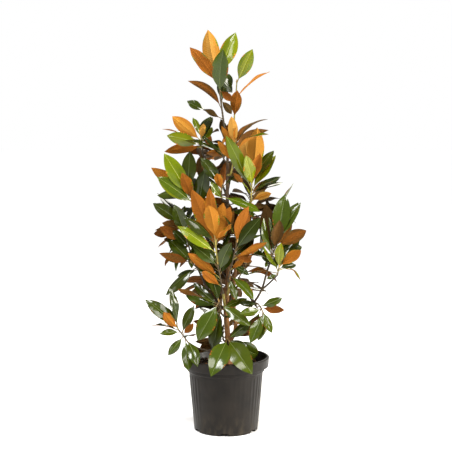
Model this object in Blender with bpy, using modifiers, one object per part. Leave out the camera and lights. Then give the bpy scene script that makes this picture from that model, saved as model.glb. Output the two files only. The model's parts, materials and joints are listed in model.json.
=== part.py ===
"""A young evergreen magnolia in a nursery pot.

Metres, +Z up. The origin is the centre of the pot's flat underside, and the
side that is looked at is -Y. Limbs and foliage are laid out in centimetres.
"""
import math
import random
from collections import namedtuple

import bmesh
import bpy
from mathutils import Matrix, Quaternion, Vector
from mathutils.bvhtree import BVHTree

CM = 0.01
GAP = 0.0003  # clearance kept between neighbouring solids

# Pot: a 15-litre nursery pot
POT_HEIGHT = 0.273
RIM_RADIUS = 0.160
RIM_DEPTH = 0.036
COLLAR_RADIUS = 0.1425
COLLAR_DEPTH = 0.020
BODY_TOP_RADIUS = 0.137
BASE_RADIUS = 0.118
BASE_ROUNDING = 0.004
WALL = 0.003
FLOOR = 0.014
POT_STEPS = 32
NOTCHES = 6
NOTCH_WIDTH = 0.040
NOTCH_TOP_WIDTH = 0.022
NOTCH_HEIGHT = 0.010
NOTCH_TURN = math.radians(-3)

# Compost: its flat top carries the trunk's foot
SOIL_TOP = 0.240

# The eye that the places below were read off from
EYE_DISTANCE = 4.0
EYE_HEIGHT = 1.13

# Limbs
LIMB_STEPS = 2  # between two places on a path
STOUT_LIMB = 0.008  # a foot radius from which a limb has twelve sides, not eight
FLARE_HEIGHT = 0.035
FLARE = 1.55

# Twigs
STEM_START = 0.004  # how far inside its limb's tip, and beyond it, a mass's stem is led
STEM_RADIUS = 0.0042
TWIG_RADIUS = 0.0028
TWIG_END = 0.8  # of the twig's radius
TWIG_STEPS = 2
BUD_LENGTH = 0.016
BUD_RADIUS = 0.0010

# Leaves
LEAF_WIDTH = 0.36  # of the length
LEAF_WIDEST = 0.062
LEAF_ARCH = 0.05  # of the length
LEAF_FOLD = 0.10  # rise of the edge, of the half width
LEAF_KEEL = 0.0014
PETIOLE_RADIUS = 0.0012
PETIOLE_FOOT = 0.0012  # from the twig's centre line, so well inside it
PETIOLE_STATIONS = ((0.0, 0.0), (0.12, 0.0))  # (along, share of the half width)
BLADE_STATIONS = ((0.46, 0.96), (0.78, 0.78))
BLADE_FOOT = (0.24, 0.34)  # from here on, leaves of one mass keep clear of each other
LEAF_CLEARANCE = 0.0006
KEY_CROWDING = 0.7  # under 1, the placed leaves stand closer at a shoot's top
TRIES = 20
DEPTH_STEP = 0.6 * CM
TURN_STEP = math.radians(4)

# Leaves that follow the rule alone
GOLDEN_ANGLE = math.radians(137.5)
FILL_LENGTH = (0.115, 0.155)
FILL_SPREAD = (math.radians(112), math.radians(34))  # from the shoot, at its foot and its top
FILL_ROLL = math.radians(25)
FILL_ARCH = (0.02, 0.12)  # of the length
FILL_LIFT = 0.6  # how much the upper side looks up
FILL_TILT = 0.3  # and how much it looks back to the shoot
SPIRAL_WOBBLE = 0.4
SPIRAL_RETRY = 0.7
SPREAD_WOBBLE = 0.2
FRONT_LIMIT = 0.4  # a front shoot's own leaves lean no further to the front
CROWN_REACH = (  # (height, radius) that no such leaf leaves
    (0.20, 0.17), (0.36, 0.20), (0.52, 0.25), (0.75, 0.28),
    (0.95, 0.26), (1.10, 0.20), (1.25, 0.12), (1.47, 0.06),
)

Limb = namedtuple("Limb", "parent foot_radius tip_radius path")
Shoot = namedtuple("Shoot", "foot top fill leaves")
Mass = namedtuple("Mass", "limb height shoots")

# Places are (across, depth, up) in centimetres, as seen from the eye on the upright
# plane through the pot's axis. Limbs run from inside their parent to their tip.
LIMBS = {
    "trunk": Limb("compost", 0.0115, 0.0042, [
        (1, 0, 23.2), (1, 0, 28.5), (0.5, 0, 36.5), (0, 0.5, 44.5), (0.5, 1, 53), (1, 1, 60.5),
        (0.5, 1, 69.5), (0.5, 0.5, 81), (0.5, 0.5, 92), (0.5, 0, 103), (-0.5, 0, 111),
    ]),
    "right_stem": Limb("trunk", 0.0085, 0.0038, [
        (0.8, 0, 29), (2, 0.5, 33.5), (3.5, 1, 37.5), (3, 1, 44.5), (2.6, 1.8, 51.5),
        (3.5, 2, 59.5), (5, 2, 68), (7.5, 1, 76.5), (8.8, 0, 81.5),
    ]),
    "dark_stem": Limb("right_stem", 0.0050, 0.0034, [
        (2.8, 1, 35.5), (5, 0, 37.5), (7.5, -2, 43), (11.5, -4, 49), (13.5, -4.5, 53),
        (15, -4.5, 58.5), (16, -4.5, 61.5),
    ]),
    "right_low_bough": Limb("dark_stem", 0.0034, 0.0028, [
        (13.2, -4.5, 52), (16, -5.5, 54.5), (18.5, -7, 57),
    ]),
    "front_stem": Limb("trunk", 0.0058, 0.0050, [(0, 0.5, 44), (-0.7, -2.5, 47.5), (-1, -4, 50.5)]),
    "mid_right_bough": Limb("trunk", 0.0045, 0.0038, [(0.4, 1, 49.5), (1, -2, 53), (1, -4, 55)]),
    "low_left_bough": Limb("trunk", 0.0042, 0.0032, [
        (1, 0, 27), (-4.5, -3.5, 28.8), (-10, -6, 30), (-13.5, -7, 32),
    ]),
    "left_bough": Limb("trunk", 0.0052, 0.0034, [
        (0, 1, 44), (-4, 3, 48.5), (-7, 4, 53), (-9.5, 3, 58), (-13, 2, 65.5),
    ]),
    "left_mid_bough": Limb("trunk", 0.0048, 0.0034, [
        (0.5, 1.5, 67.5), (-2.5, 3, 73.5), (-6.5, 3, 78), (-9, 1.5, 81),
    ]),
    "upper_left_bough": Limb("trunk", 0.0045, 0.0034, [
        (0.5, 1, 86), (-2.5, 1, 93), (-6.5, 0, 98.5), (-8.5, -1, 102),
    ]),
    "upper_right_bough": Limb("trunk", 0.0040, 0.0032, [(0.5, 0, 100), (2, 1.5, 106), (3, 2, 112.5)]),
    "rear_low_bough": Limb("trunk", 0.0050, 0.0036, [(0.3, 0.5, 41), (1, 4, 45), (2, 8, 50)]),
    "rear_left_bough": Limb("trunk", 0.0050, 0.0036, [(0.8, 1, 56), (-3, 5, 61), (-6, 8.5, 67)]),
    "rear_right_bough": Limb("right_stem", 0.0048, 0.0036, [(4.8, 2, 66.5), (7.5, 6, 71.5), (9, 8.5, 77)]),
    "rear_top_bough": Limb("trunk", 0.0044, 0.0034, [(0.5, 0.5, 88), (1.5, 4, 93), (2, 6.5, 98)]),
}

# Each leaf is (across, depth, up) of its tip, how far its upper side is turned from
# the eye in degrees (0 shows it, 180 shows the felted underside), and where they are
# not as usual its breadth as a share, its twist in degrees and its arch in
# centimetres. Leaves stand from the foot of their shoot to its top. A shoot's fill is
# the number of leaves by rule alone.
# A mass grows from its limb's tip, or from the limb's side at the height given.
MASSES = {
    "crown_top": Mass("trunk", None, [
        Shoot((-1, 0, 114.5), (-3.2, -1, 131), 0, [
            (-14, -3, 121, 190, 1, -190),
            (-13.5, 0, 128.5, 150, 0.6, 0, 3.5),
            (1, 10, 131, 20),
            (2, -1.5, 116.3, 160, 1.2),
            (-1.2, -6, 139.5, 15),
            (2.5, -1.5, 121, 165, 1.2),
            (-13, -4.5, 140.5, 165, 0.75),
            (-6.5, -3, 146.5, 180),
            (3.5, 3, 145.5, 10),
            (2.4, 3, 124, 20),
        ]),
    ]),
    "crown_right": Mass("upper_right_bough", None, [
        Shoot((3, 2, 114.5), (3.9, 1.5, 127.5), 1, [
            (4.2, -4.5, 125, 180),
            (15.5, 0, 132, 95),
            (9.5, -3, 139.5, 5),
        ]),
    ]),
    "upper_front": Mass("trunk", 94, [
        Shoot((2, -4, 95.5), (3.5, -5, 106), 5, [
            (6, -7, 91.5, 165),
            (-3, -6, 106.5, 170, 0.8),
            (-1.5, -4.5, 112, 160, 0.7),
            (15.5, 3, 110.5, 140, 0.65, 0, 3.5),
            (2, -7.5, 115.5, 180, 0.85),
            (3.5, -6, 111.5, 130),
        ]),
        Shoot((-0.5, -3, 99.5), (-1.5, -4, 103), 2, [
            (-7.5, -1.5, 109, 80),
        ]),
    ]),
    "upper_left": Mass("upper_left_bough", None, [
        Shoot((-8.5, -1, 102.8), (-9, -1.5, 107.5), 5, [
            (-10, 1.5, 94, 180),
            (-5, 1.5, 106, 175),
            (-22.5, 3, 102.5, 165, 0.75, 0, 2),
            (-21.5, -6, 108.5, 15),
            (-23, 4.5, 111, 85),
            (-5, 4.5, 111.5, 20),
            (-19.5, -4.5, 115.5, 170),
            (-8, -6, 113, 180, 0.85),
            (-12, 4.5, 115.5, 10, 0.6),
        ]),
    ]),
    "trunk_left": Mass("trunk", 84, [
        Shoot((-1.5, -2, 85.5), (-1.5, -3, 90.5), 3, [
            (-5.5, -6, 91.5, 10),
            (-3.5, -7.5, 95, 180),
            (-9, -6, 100.5, 15),
        ]),
    ]),
    "left_upper": Mass("left_mid_bough", None, [
        Shoot((-10.5, 1, 82), (-14, -1.5, 88), 8, [
            (-7.5, -1.5, 96.5, 10),
            (-25, -4.5, 93.5, 20),
            (-16, -7.5, 95, 170, 0.85),
            (-19.5, 0, 96, 15),
            (-22.5, -4.5, 102, 5),
            (-27, 1.5, 97, 160, 0.8),
            (-15, -1.5, 99, 20),
            (-13, 3, 103, 30),
        ]),
    ]),
    "left_mid": Mass("left_bough", None, [
        Shoot((-13.5, 1.5, 67.5), (-16.5, 0, 78), 8, [
            (-19.5, 0, 74, 20),
            (-24.5, -4.5, 75, 175),
            (-19, -4.5, 83.5, 10),
            (-26, 1.5, 74, 120, 0.9, 0, 2),
            (-23.5, 4.5, 76.5, 170),
            (-26.5, -1.5, 84, 15),
            (-15, 1.5, 83, 20),
        ]),
    ]),
    "left_low": Mass("left_bough", 57, [
        Shoot((-10.2, 1, 59.5), (-12.5, -1.5, 62), 2, [
            (-18, 1.5, 57, 15, 0.8),
            (-24.5, -3, 65.5, 165, 0.8, 60),
        ]),
    ]),
    "front_fan": Mass("front_stem", None, [
        Shoot((-1.5, -4.5, 53), (-3, -7.5, 61.5), 5, [
            (-9, -10, 59, 175, 0.8),
            (-10.5, -4.5, 61, 15),
            (-14, -10, 65.5, 165, 0.7),
            (2.5, -6, 66.5, 20),
            (2, -10.5, 69.5, 15),
            (-15, -6, 72.5, 15),
            (-12, -9, 68.5, 15),
            (-9.5, -4.5, 70.5, 15),
        ]),
        Shoot((-3.5, -9, 65.5), (-4, -10.5, 70.5), 5, [
            (-17.5, -12, 75.5, 10, 0.7),
            (-12.5, -6, 89, 175),
            (-6.5, -3, 86.5, 175),
            (3, -3, 81, 160),
            (-1, -9, 84, 175),
            (1.5, -6, 82.5, 165),
            (1.5, -15, 77, 130, 0.8),
            (-6.5, -16.5, 83.5, 180),
            (-6, -8, 89.5, 180, 0.7),
        ]),
    ]),
    "mid_right": Mass("mid_right_bough", None, [
        Shoot((1, -4.5, 56.5), (4, -9, 69.5), 6, [
            (4, -9, 48, 10, 0.8),
            (6.5, -11, 63, 175, 0.65),
            (8.5, -7.5, 57.5, 20),
            (15, -11, 70, 140, 0.65),
            (9.5, -7.5, 62.5, 170),
            (12.5, -10.5, 78.5, 15),
            (8, -12, 83, 140, 0.85),
            (8, -4.5, 81.5, 170),
        ]),
    ]),
    "upper_right": Mass("right_stem", None, [
        Shoot((9, -0.5, 83), (9.5, -1.5, 92), 7, [
            (14.5, 0, 83, 175),
            (16.5, -6, 87.5, 165, 0.85),
            (14, 3, 88.5, 170),
            (6, -4.5, 92, 80),
            (20, 4.5, 93.5, 50, 0.85),
            (18, 3, 101.5, 40, 0.85),
            (0, -7, 108.5, 10, 0.8),
            (7, -9, 101.5, 20, 0.9),
            (12, -6, 102.5, 165, 0.85),
            (6.3, 1.5, 109, 170, 0.95),
            (11.3, -1.5, 111.5, 180),
        ]),
    ]),
    "right": Mass("dark_stem", None, [
        Shoot((16, -4.5, 62.5), (19, -6, 69.5), 7, [
            (14.5, -9, 60.5, 20),
            (13.5, -7.5, 78.5, 70),
            (14.5, -3, 83.5, 160),
            (16, -4.5, 79, 60),
            (28, 3, 68, 30),
            (19.5, -9, 78, 175),
            (24, -4.5, 78, 170),
            (29.5, -10.5, 74, 175),
            (21.5, -1.5, 87.5, 10),
            (26.5, 3, 84, 20),
            (27, 2, 84.5, 60, 0.7),
        ]),
    ]),
    "right_low": Mass("right_low_bough", None, [
        Shoot((19, -7, 57.8), (19.5, -7.5, 60.5), 5, [
            (15, -9, 56, 20),
            (13.5, -7.5, 68.5, 75),
            (27.5, -7, 54.5, 100, 0.7, 0, 3),
            (26, -3, 61.5, 20),
            (20, -10.5, 69, 15),
            (27.5, -12, 66.5, 175),
        ]),
    ]),
    "right_hang": Mass("dark_stem", 47.7, [
        Shoot((12, -6, 46.5), (14, -7.5, 43), 3, [
            (5, -4.5, 47, 15),
            (20.5, -9, 49, 15),
            (21.5, -6, 44.5, 165),
            (5, -12, 43, 10),
            (17, -10.5, 36, 15),
            (12, -9, 33, 10),
            (9, -12, 32, 10),
            (7, -7.5, 36, 170),
        ]),
    ]),
    "low_centre": Mass("trunk", 42, [
        Shoot((-1.6, -3.5, 43), (-2.6, -6, 47.5), 5, [
            (-8.5, -6, 43, 15),
            (-4.5, -7, 29, 20),
            (-7.5, -7.5, 35.5, 15),
            (-12, 0, 54.5, 15, 0.75),
            (-18, -7.5, 52.5, 20, 0.55, 150),
            (9, -11, 38.5, 10, 0.8),
            (-10.5, -10, 33, 5, 1.15),
        ]),
    ]),
    "rim_front": Mass("trunk", 31, [
        Shoot((0.5, -3, 32.5), (0.5, -6.5, 33.5), 2, [
            (-5, -5, 28, 10),
            (-11.5, -4, 32.5, 160, 0.65),
            (8, -4, 31, 15, 0.7),
            (12.5, 8, 27.5, 15),
            (-5.5, -19.5, 19.8, 5, 1.15, 0, 2.5),
            (9.6, -17.5, 20.6, 5, 1.2, 0, 2.5),
        ]),
    ]),
    "low_left": Mass("low_left_bough", None, [
        Shoot((-14.5, -7, 33), (-18.5, -8, 38.5), 3, [
            (-10.5, -15, 23, 10, 0.95, 0, 1.5),
            (-14, -12.5, 21.5, 20),
            (-21.5, -9, 27.5, 15),
            (-12, -10.5, 39.5, 175),
            (-12, -7, 46, 20),
            (-24.5, -9, 35.5, 30),
            (-27.5, -6, 39, 75),
            (-23, -12.5, 43.5, 180),
            (-29.5, -7, 48.5, 15, 0.9),
            (-20.8, -9, 53, 40, 0.7),
            (-23, -3.5, 46.5, 15),
        ]),
    ]),
    "rear_foot": Mass("trunk", 32, [
        Shoot((-1, 4, 33.5), (-1, 8.5, 38), 9, []),
    ]),
    "rear_low": Mass("rear_low_bough", None, [
        Shoot((2, 9, 51), (3, 15, 57), 14, []),
        Shoot((3.5, 10, 54), (8.5, 14, 64), 9, []),
        Shoot((1, 10, 52.5), (-6, 14, 56), 9, []),
    ]),
    "rear_left": Mass("rear_left_bough", None, [
        Shoot((-6, 9.5, 68), (-6, 15, 76), 13, []),
        Shoot((-8, 10.5, 69.5), (-15, 11, 73), 9, []),
        Shoot((-4, 12, 72), (1, 16, 71), 8, []),
    ]),
    "rear_right": Mass("rear_right_bough", None, [
        Shoot((9, 9.5, 78), (9, 14, 86), 13, []),
        Shoot((11, 9.5, 79), (17, 9, 81), 9, []),
        Shoot((8, 12, 82), (3, 16, 81), 8, []),
    ]),
    "rear_top": Mass("rear_top_bough", None, [
        Shoot((2, 7.5, 99), (1.5, 9.5, 104), 11, []),
        Shoot((1, 8, 101), (-4, 12, 103), 9, []),
    ]),
}

Leaf = namedtuple("Leaf", "foot tip upper twist arch half")
Solid = namedtuple("Solid", "low high tree")


def clear_scene():
    for item in list(bpy.data.objects):
        bpy.data.objects.remove(item)


def new_collection(name):
    made = bpy.data.collections.new(name)
    bpy.context.scene.collection.children.link(made)
    return made


def new_object(name, mesh, collection):
    made = bpy.data.objects.new(name, mesh)
    collection.objects.link(made)
    return made


def material(name, colour, roughness, metallic=0.0):
    made = bpy.data.materials.new(name)
    made.use_nodes = True
    shader = made.node_tree.nodes["Principled BSDF"]
    shader.inputs["Base Color"].default_value = (*colour, 1.0)
    shader.inputs["Roughness"].default_value = roughness
    shader.inputs["Metallic"].default_value = metallic
    return made


def evaluated_mesh(item):
    graph = bpy.context.evaluated_depsgraph_get()
    return bpy.data.meshes.new_from_object(item.evaluated_get(graph))


def apply_modifiers(item):
    """Keep the object's evaluated mesh as its own."""
    bpy.context.view_layer.update()
    mesh = evaluated_mesh(item)
    item.modifiers.clear()
    item.data = mesh


def smooth(item, angle=math.radians(40)):
    item.data.shade_smooth()
    item.data.set_sharp_from_angle(angle=angle)


def seen(place):
    """The point at a place's depth on the line of sight through it, in metres."""
    across, depth, up = (value * CM for value in place)
    scale = 1 + depth / EYE_DISTANCE
    return Vector((across * scale, depth, EYE_HEIGHT + (up - EYE_HEIGHT) * scale))


def smooth_path(points, steps):
    """A Catmull-Rom curve through the points, with steps between each two."""
    if len(points) < 3:
        return list(points)
    ends = [points[0] * 2 - points[1]] + list(points) + [points[-1] * 2 - points[-2]]
    path = []
    for a, b, c, d in zip(ends, ends[1:], ends[2:], ends[3:]):
        for step in range(steps):
            t = step / steps
            path.append(0.5 * (2 * b + (c - a) * t + (2 * a - 5 * b + 4 * c - d) * t ** 2
                               + (3 * b - a - 3 * c + d) * t ** 3))
    path.append(points[-1].copy())
    return path


def tube(name, path, radii, resolution, collection):
    """A closed tube along a path, as a mesh object."""
    curve = bpy.data.curves.new(name, "CURVE")
    curve.dimensions = "3D"
    curve.bevel_depth = 1.0
    curve.bevel_resolution = resolution
    curve.use_fill_caps = True
    spline = curve.splines.new("POLY")
    spline.points.add(len(path) - 1)
    for point, place, radius in zip(spline.points, path, radii):
        point.co = (*place, 1.0)
        point.radius = radius
    guide = new_object(name + "_path", curve, collection)
    bpy.context.view_layer.update()
    mesh = evaluated_mesh(guide)
    bpy.data.objects.remove(guide)
    body = bmesh.new()
    body.from_mesh(mesh)
    bmesh.ops.remove_doubles(body, verts=body.verts, dist=1e-6)
    bmesh.ops.recalc_face_normals(body, faces=body.faces)
    body.to_mesh(mesh)
    body.free()
    mesh.name = name
    return new_object(name, mesh, collection)


def keep_largest_body(item):
    """Drop the loose scraps that a Boolean can leave beside the body."""
    body = bmesh.new()
    body.from_mesh(item.data)
    islands, waiting = [], set(body.verts)
    while waiting:
        island, front = set(), [waiting.pop()]
        while front:
            corner = front.pop()
            island.add(corner)
            near = {edge.other_vert(corner) for edge in corner.link_edges} & waiting
            waiting -= near
            front.extend(near)
        islands.append(island)
    islands.sort(key=len)
    for island in islands[:-1]:
        bmesh.ops.delete(body, geom=list(island), context="VERTS")
    body.to_mesh(item.data)
    body.free()


def cut(item, cutter):
    boolean = item.modifiers.new("cut", "BOOLEAN")
    boolean.operation = "DIFFERENCE"
    boolean.object = cutter
    apply_modifiers(item)
    keep_largest_body(item)


def hide_cutter(item):
    item.hide_render = True
    item.display_type = "WIRE"


def turned(name, profile, steps, collection):
    """A solid of revolution about +Z from (radius, height) pairs."""
    body = bmesh.new()
    corners = [body.verts.new((radius, 0, height)) for radius, height in profile]
    for a, b in zip(corners, corners[1:]):
        body.edges.new((a, b))
    mesh = bpy.data.meshes.new(name)
    body.to_mesh(mesh)
    body.free()
    made = new_object(name, mesh, collection)
    screw = made.modifiers.new("turn", "SCREW")
    screw.steps = steps
    screw.render_steps = steps
    screw.use_merge_vertices = True
    screw.merge_threshold = 1e-5
    return made


def wall_radius(height):
    """The pot's outer radius below its collar."""
    top = POT_HEIGHT - RIM_DEPTH - COLLAR_DEPTH
    return BASE_RADIUS + (BODY_TOP_RADIUS - BASE_RADIUS) * height / top


def make_pot(parts, cutters):
    rim_foot = POT_HEIGHT - RIM_DEPTH
    collar_foot = rim_foot - COLLAR_DEPTH
    lip = 0.006
    pot = turned("pot", [
        (0, FLOOR),
        (wall_radius(FLOOR) - WALL, FLOOR),
        (BODY_TOP_RADIUS - WALL, collar_foot),
        (COLLAR_RADIUS - WALL, collar_foot + lip),
        (COLLAR_RADIUS - WALL, rim_foot),
        (RIM_RADIUS - 2 * WALL, POT_HEIGHT),
        (RIM_RADIUS - WALL, POT_HEIGHT),
        (RIM_RADIUS, POT_HEIGHT - lip),
        (RIM_RADIUS - WALL, rim_foot),
        (COLLAR_RADIUS, rim_foot),
        (COLLAR_RADIUS, collar_foot + lip),
        (BODY_TOP_RADIUS, collar_foot),
        (wall_radius(BASE_ROUNDING * 2), BASE_ROUNDING * 2),
        (BASE_RADIUS - BASE_ROUNDING, 0),
        (0, 0),
    ], POT_STEPS, parts)
    apply_modifiers(pot)
    overlap = 0.002
    for index in range(NOTCHES):
        body = bmesh.new()
        bmesh.ops.create_cone(
            body, cap_ends=True, segments=4, radius1=NOTCH_WIDTH / math.sqrt(2),
            radius2=NOTCH_TOP_WIDTH / math.sqrt(2), depth=NOTCH_HEIGHT + overlap,
            matrix=Matrix.Rotation(math.radians(45), 4, "Z"))
        mesh = bpy.data.meshes.new("notch")
        body.to_mesh(mesh)
        body.free()
        cutter = new_object(f"notch_{index}", mesh, cutters)
        angle = NOTCH_TURN - math.pi / 2 + index * 2 * math.pi / NOTCHES
        cutter.location = (BASE_RADIUS * math.cos(angle), BASE_RADIUS * math.sin(angle),
                           (NOTCH_HEIGHT - overlap) / 2)
        cutter.rotation_euler = (0, 0, angle)
        hide_cutter(cutter)
        bpy.context.view_layer.update()
        cut(pot, cutter)
    smooth(pot)
    pot.data.materials.append(material("black plastic", (0.045, 0.042, 0.038), 0.42))
    return pot


def make_compost(parts):
    shoulder = 0.012
    inner = wall_radius(SOIL_TOP) - WALL - GAP
    rim_foot = POT_HEIGHT - RIM_DEPTH
    collar_foot = rim_foot - COLLAR_DEPTH
    compost = turned("compost", [
        (0, SOIL_TOP),
        (COLLAR_RADIUS - WALL - shoulder, SOIL_TOP),
        (COLLAR_RADIUS - WALL - GAP, rim_foot - GAP),
        (COLLAR_RADIUS - WALL - GAP, collar_foot + shoulder),
        (BODY_TOP_RADIUS - WALL - 2 * GAP, collar_foot),
        (wall_radius(FLOOR) - WALL - GAP, FLOOR + GAP),
        (0, FLOOR + GAP),
    ], POT_STEPS // 2, parts)
    apply_modifiers(compost)
    smooth(compost)
    compost.data.materials.append(material("compost", (0.022, 0.014, 0.009), 0.95))
    return compost


def limb_radii(limb, path):
    """Radii that taper evenly along a path, with the trunk's foot flared."""
    lengths = [0.0]
    for a, b in zip(path, path[1:]):
        lengths.append(lengths[-1] + (b - a).length)
    radii = []
    for length in lengths:
        radius = limb.foot_radius + (limb.tip_radius - limb.foot_radius) * length / lengths[-1]
        if limb.parent == "compost" and length < FLARE_HEIGHT:
            radius *= FLARE + (1 - FLARE) * math.sqrt(length / FLARE_HEIGHT)
        radii.append(radius)
    return radii


def limb_path(limb):
    return smooth_path([seen(place) for place in limb.path], LIMB_STEPS)


def limb_resolution(limb):
    return 2 if limb.foot_radius > STOUT_LIMB else 1


def sheath(name, limb, cutters):
    """The space that a limb and its clearance fill."""
    path = limb_path(limb)
    radii = [radius + GAP for radius in limb_radii(limb, path)]
    path[-1] += (path[-1] - path[-2]).normalized() * GAP
    made = tube(name + "_sheath", path, radii, limb_resolution(limb), cutters)
    hide_cutter(made)
    return made


def make_ground(cutters):
    """What the trunk's foot is cut with, just above the compost."""
    depth = 0.05
    bpy.ops.mesh.primitive_cube_add(size=0.2, location=(0, 0, SOIL_TOP + GAP - depth / 2))
    ground = bpy.context.object
    ground.name = "compost_sheath"
    ground.scale.z = depth / 0.2
    for home in list(ground.users_collection):
        home.objects.unlink(ground)
    cutters.objects.link(ground)
    hide_cutter(ground)
    bpy.context.view_layer.update()
    return ground


def make_limbs(parts, cutters):
    brown = material("trunk bark", (0.22, 0.12, 0.045), 0.8)
    grey = material("stem bark", (0.06, 0.05, 0.03), 0.75)
    green = material("green stem", (0.22, 0.19, 0.05), 0.6)
    finish = {"trunk": brown, "right_stem": brown, "front_stem": green, "mid_right_bough": green}
    sheaths = {"compost": make_ground(cutters)}
    limbs = {}
    for name, limb in LIMBS.items():
        path = limb_path(limb)
        made = tube(name, path, limb_radii(limb, path), limb_resolution(limb), parts)
        cut(made, sheaths[limb.parent])
        smooth(made)
        made.data.materials.append(finish.get(name, grey))
        sheaths[name] = sheath(name, limb, cutters)
        limbs[name] = made
    return limbs, sheaths


def loft(rings, tip=None):
    """Corners and faces of a closed body through rings of three corners."""
    corners = [corner for ring in rings for corner in ring]
    count = len(rings[0])
    faces = [tuple(reversed(range(count)))]
    for ring in range(len(rings) - 1):
        for side in range(count):
            other = (side + 1) % count
            a, b = ring * count + side, ring * count + other
            faces.append((a, b, b + count))
            faces.append((a, b + count, a + count))
    last = (len(rings) - 1) * count
    if tip is None:
        faces.append(tuple(last + side for side in range(count)))
    else:
        corners.append(tip)
        for side in range(count):
            faces.append((last + side, last + (side + 1) % count, len(corners) - 1))
    return corners, faces


def twig_shape(mass, path, first):
    """A three-sided twig along a path, drawn out into a bud at its end."""
    radii = twig_radii(mass, path, first) + [BUD_RADIUS]
    path = path + [path[-1] + (path[-1] - path[-2]).normalized() * BUD_LENGTH]
    rings = []
    for index, (place, radius) in enumerate(zip(path, radii)):
        before = path[max(index - 1, 0)]
        after = path[min(index + 1, len(path) - 1)]
        along = (after - before).normalized()
        side = along.cross(Vector((0, 1, 0.1))).normalized()
        rings.append([place + Quaternion(along, turn) @ side * radius
                      for turn in (0, 2 * math.pi / 3, 4 * math.pi / 3)])
    return loft(rings)


def leaf_frame(leaf, along):
    """The midrib's place and the leaf's side and upper directions, part way along."""
    chord = leaf.tip - leaf.foot
    forward = chord.normalized()
    upper = (leaf.upper - forward * leaf.upper.dot(forward)).normalized()
    place = leaf.foot + chord * along + upper * leaf.arch * 4 * along * (1 - along)
    turn = Quaternion(forward, leaf.twist * along)
    return place, turn @ upper.cross(forward), turn @ upper


def leaf_shape(leaf, grow=0.0, foot=PETIOLE_STATIONS):
    """A leaf with a shallow fold and a keel along its midrib, through its foot's stations."""
    rings = []
    for along, width in (*foot, *BLADE_STATIONS):
        place, side, upper = leaf_frame(leaf, along)
        reach, lift, keel = leaf.half * width, leaf.half * width * LEAF_FOLD, LEAF_KEEL
        if along == 0:
            place += (leaf.tip - leaf.foot).normalized() * PETIOLE_FOOT
        if width == 0:
            reach, lift, keel = PETIOLE_RADIUS, PETIOLE_RADIUS / 2, PETIOLE_RADIUS
        rings.append([
            place - side * (reach + grow) + upper * (lift + grow),
            place + side * (reach + grow) + upper * (lift + grow),
            place - upper * (keel + grow),
        ])
    return loft(rings, leaf.tip + (leaf.tip - leaf.foot).normalized() * grow)


def solid_of(shape):
    corners, faces = shape
    low = Vector([min(corner[axis] for corner in corners) for axis in range(3)])
    high = Vector([max(corner[axis] for corner in corners) for axis in range(3)])
    return Solid(low, high, BVHTree.FromPolygons(corners, faces))


def mesh_solid(item):
    mesh = item.data
    return solid_of(([vertex.co.copy() for vertex in mesh.vertices],
                     [tuple(face.vertices) for face in mesh.polygons]))


def touches(solid, others):
    for other in others:
        if all(solid.low[axis] < other.high[axis] and other.low[axis] < solid.high[axis]
               for axis in range(3)) and solid.tree.overlap(other.tree):
            return True
    return False


def turned_upper(foot, tip, turn):
    """The direction of a leaf's upper side, turned from facing the eye."""
    forward = (tip - foot).normalized()
    eye = Vector((0, -EYE_DISTANCE, EYE_HEIGHT)) - foot
    facing = (eye - forward * eye.dot(forward)).normalized()
    aside = facing.cross(forward)
    if aside.z < 0:
        aside = -aside
    return facing * math.cos(turn) + aside * math.sin(turn)


def placed_leaf(foot, row, attempt):
    """A leaf from its row, moved a little in depth and turn at each attempt."""
    across, depth, up, turn, broad, twist, arch = row + (1, 0, None)[len(row) - 4:]
    nudge = (attempt + 1) // 2 * (1 if attempt % 2 else -1)
    tip = seen((across, depth, up)) + Vector((0, nudge * DEPTH_STEP, 0))
    upper = turned_upper(foot, tip, math.radians(turn) + nudge * TURN_STEP)
    length = (tip - foot).length
    rise = LEAF_ARCH * length if arch is None else arch * CM
    return Leaf(foot, tip, upper, math.radians(twist), rise, broad * half_width(length))


def half_width(length):
    return min(length * LEAF_WIDTH, LEAF_WIDEST) / 2


def crown_radius(height):
    """How far from the axis a leaf by rule may reach at a height."""
    for (low, narrow), (high, wide) in zip(CROWN_REACH, CROWN_REACH[1:]):
        if low <= height <= high:
            return narrow + (wide - narrow) * (height - low) / (high - low)
    return 0.0


def rule_leaf(foot, axis, key, index, share, attempt):
    """A leaf of the spiral round a shoot, drawn anew at each attempt."""
    draw = random.Random(f"{key} {index} {attempt}")
    aside = axis.cross(Vector((0.3, 1, 0.2))).normalized()
    angle = index * GOLDEN_ANGLE + draw.uniform(-SPIRAL_WOBBLE, SPIRAL_WOBBLE) + attempt * SPIRAL_RETRY
    outward = Quaternion(axis, angle) @ aside
    spread = FILL_SPREAD[0] + (FILL_SPREAD[1] - FILL_SPREAD[0]) * share
    spread += draw.uniform(-SPREAD_WOBBLE, SPREAD_WOBBLE)
    forward = axis * math.cos(spread) + outward * math.sin(spread)
    length = draw.uniform(*FILL_LENGTH)
    upper = Quaternion(forward, draw.uniform(-FILL_ROLL, FILL_ROLL)) @ (
        axis + Vector((0, 0, FILL_LIFT)) - outward * FILL_TILT)
    rise = length * draw.uniform(*FILL_ARCH)
    return Leaf(foot, foot + forward * length, upper, 0.0, rise, half_width(length))


def within_crown(leaf, front):
    tip = leaf.tip
    if math.hypot(tip.x, tip.y) > crown_radius(tip.z):
        return False
    forward = (leaf.tip - leaf.foot).normalized()
    return not front or forward.y > -FRONT_LIMIT


def shoot_path(shoot):
    return seen(shoot.foot), seen(shoot.top)


def node_place(path, share):
    """A place on the shoot that ends a twig's path, from its foot at 0 to its top at 1."""
    step = min(int(share * TWIG_STEPS), TWIG_STEPS - 1)
    a, b = path[step - TWIG_STEPS - 1], path[step - TWIG_STEPS:][0]
    return a.lerp(b, share * TWIG_STEPS - step)


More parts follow.
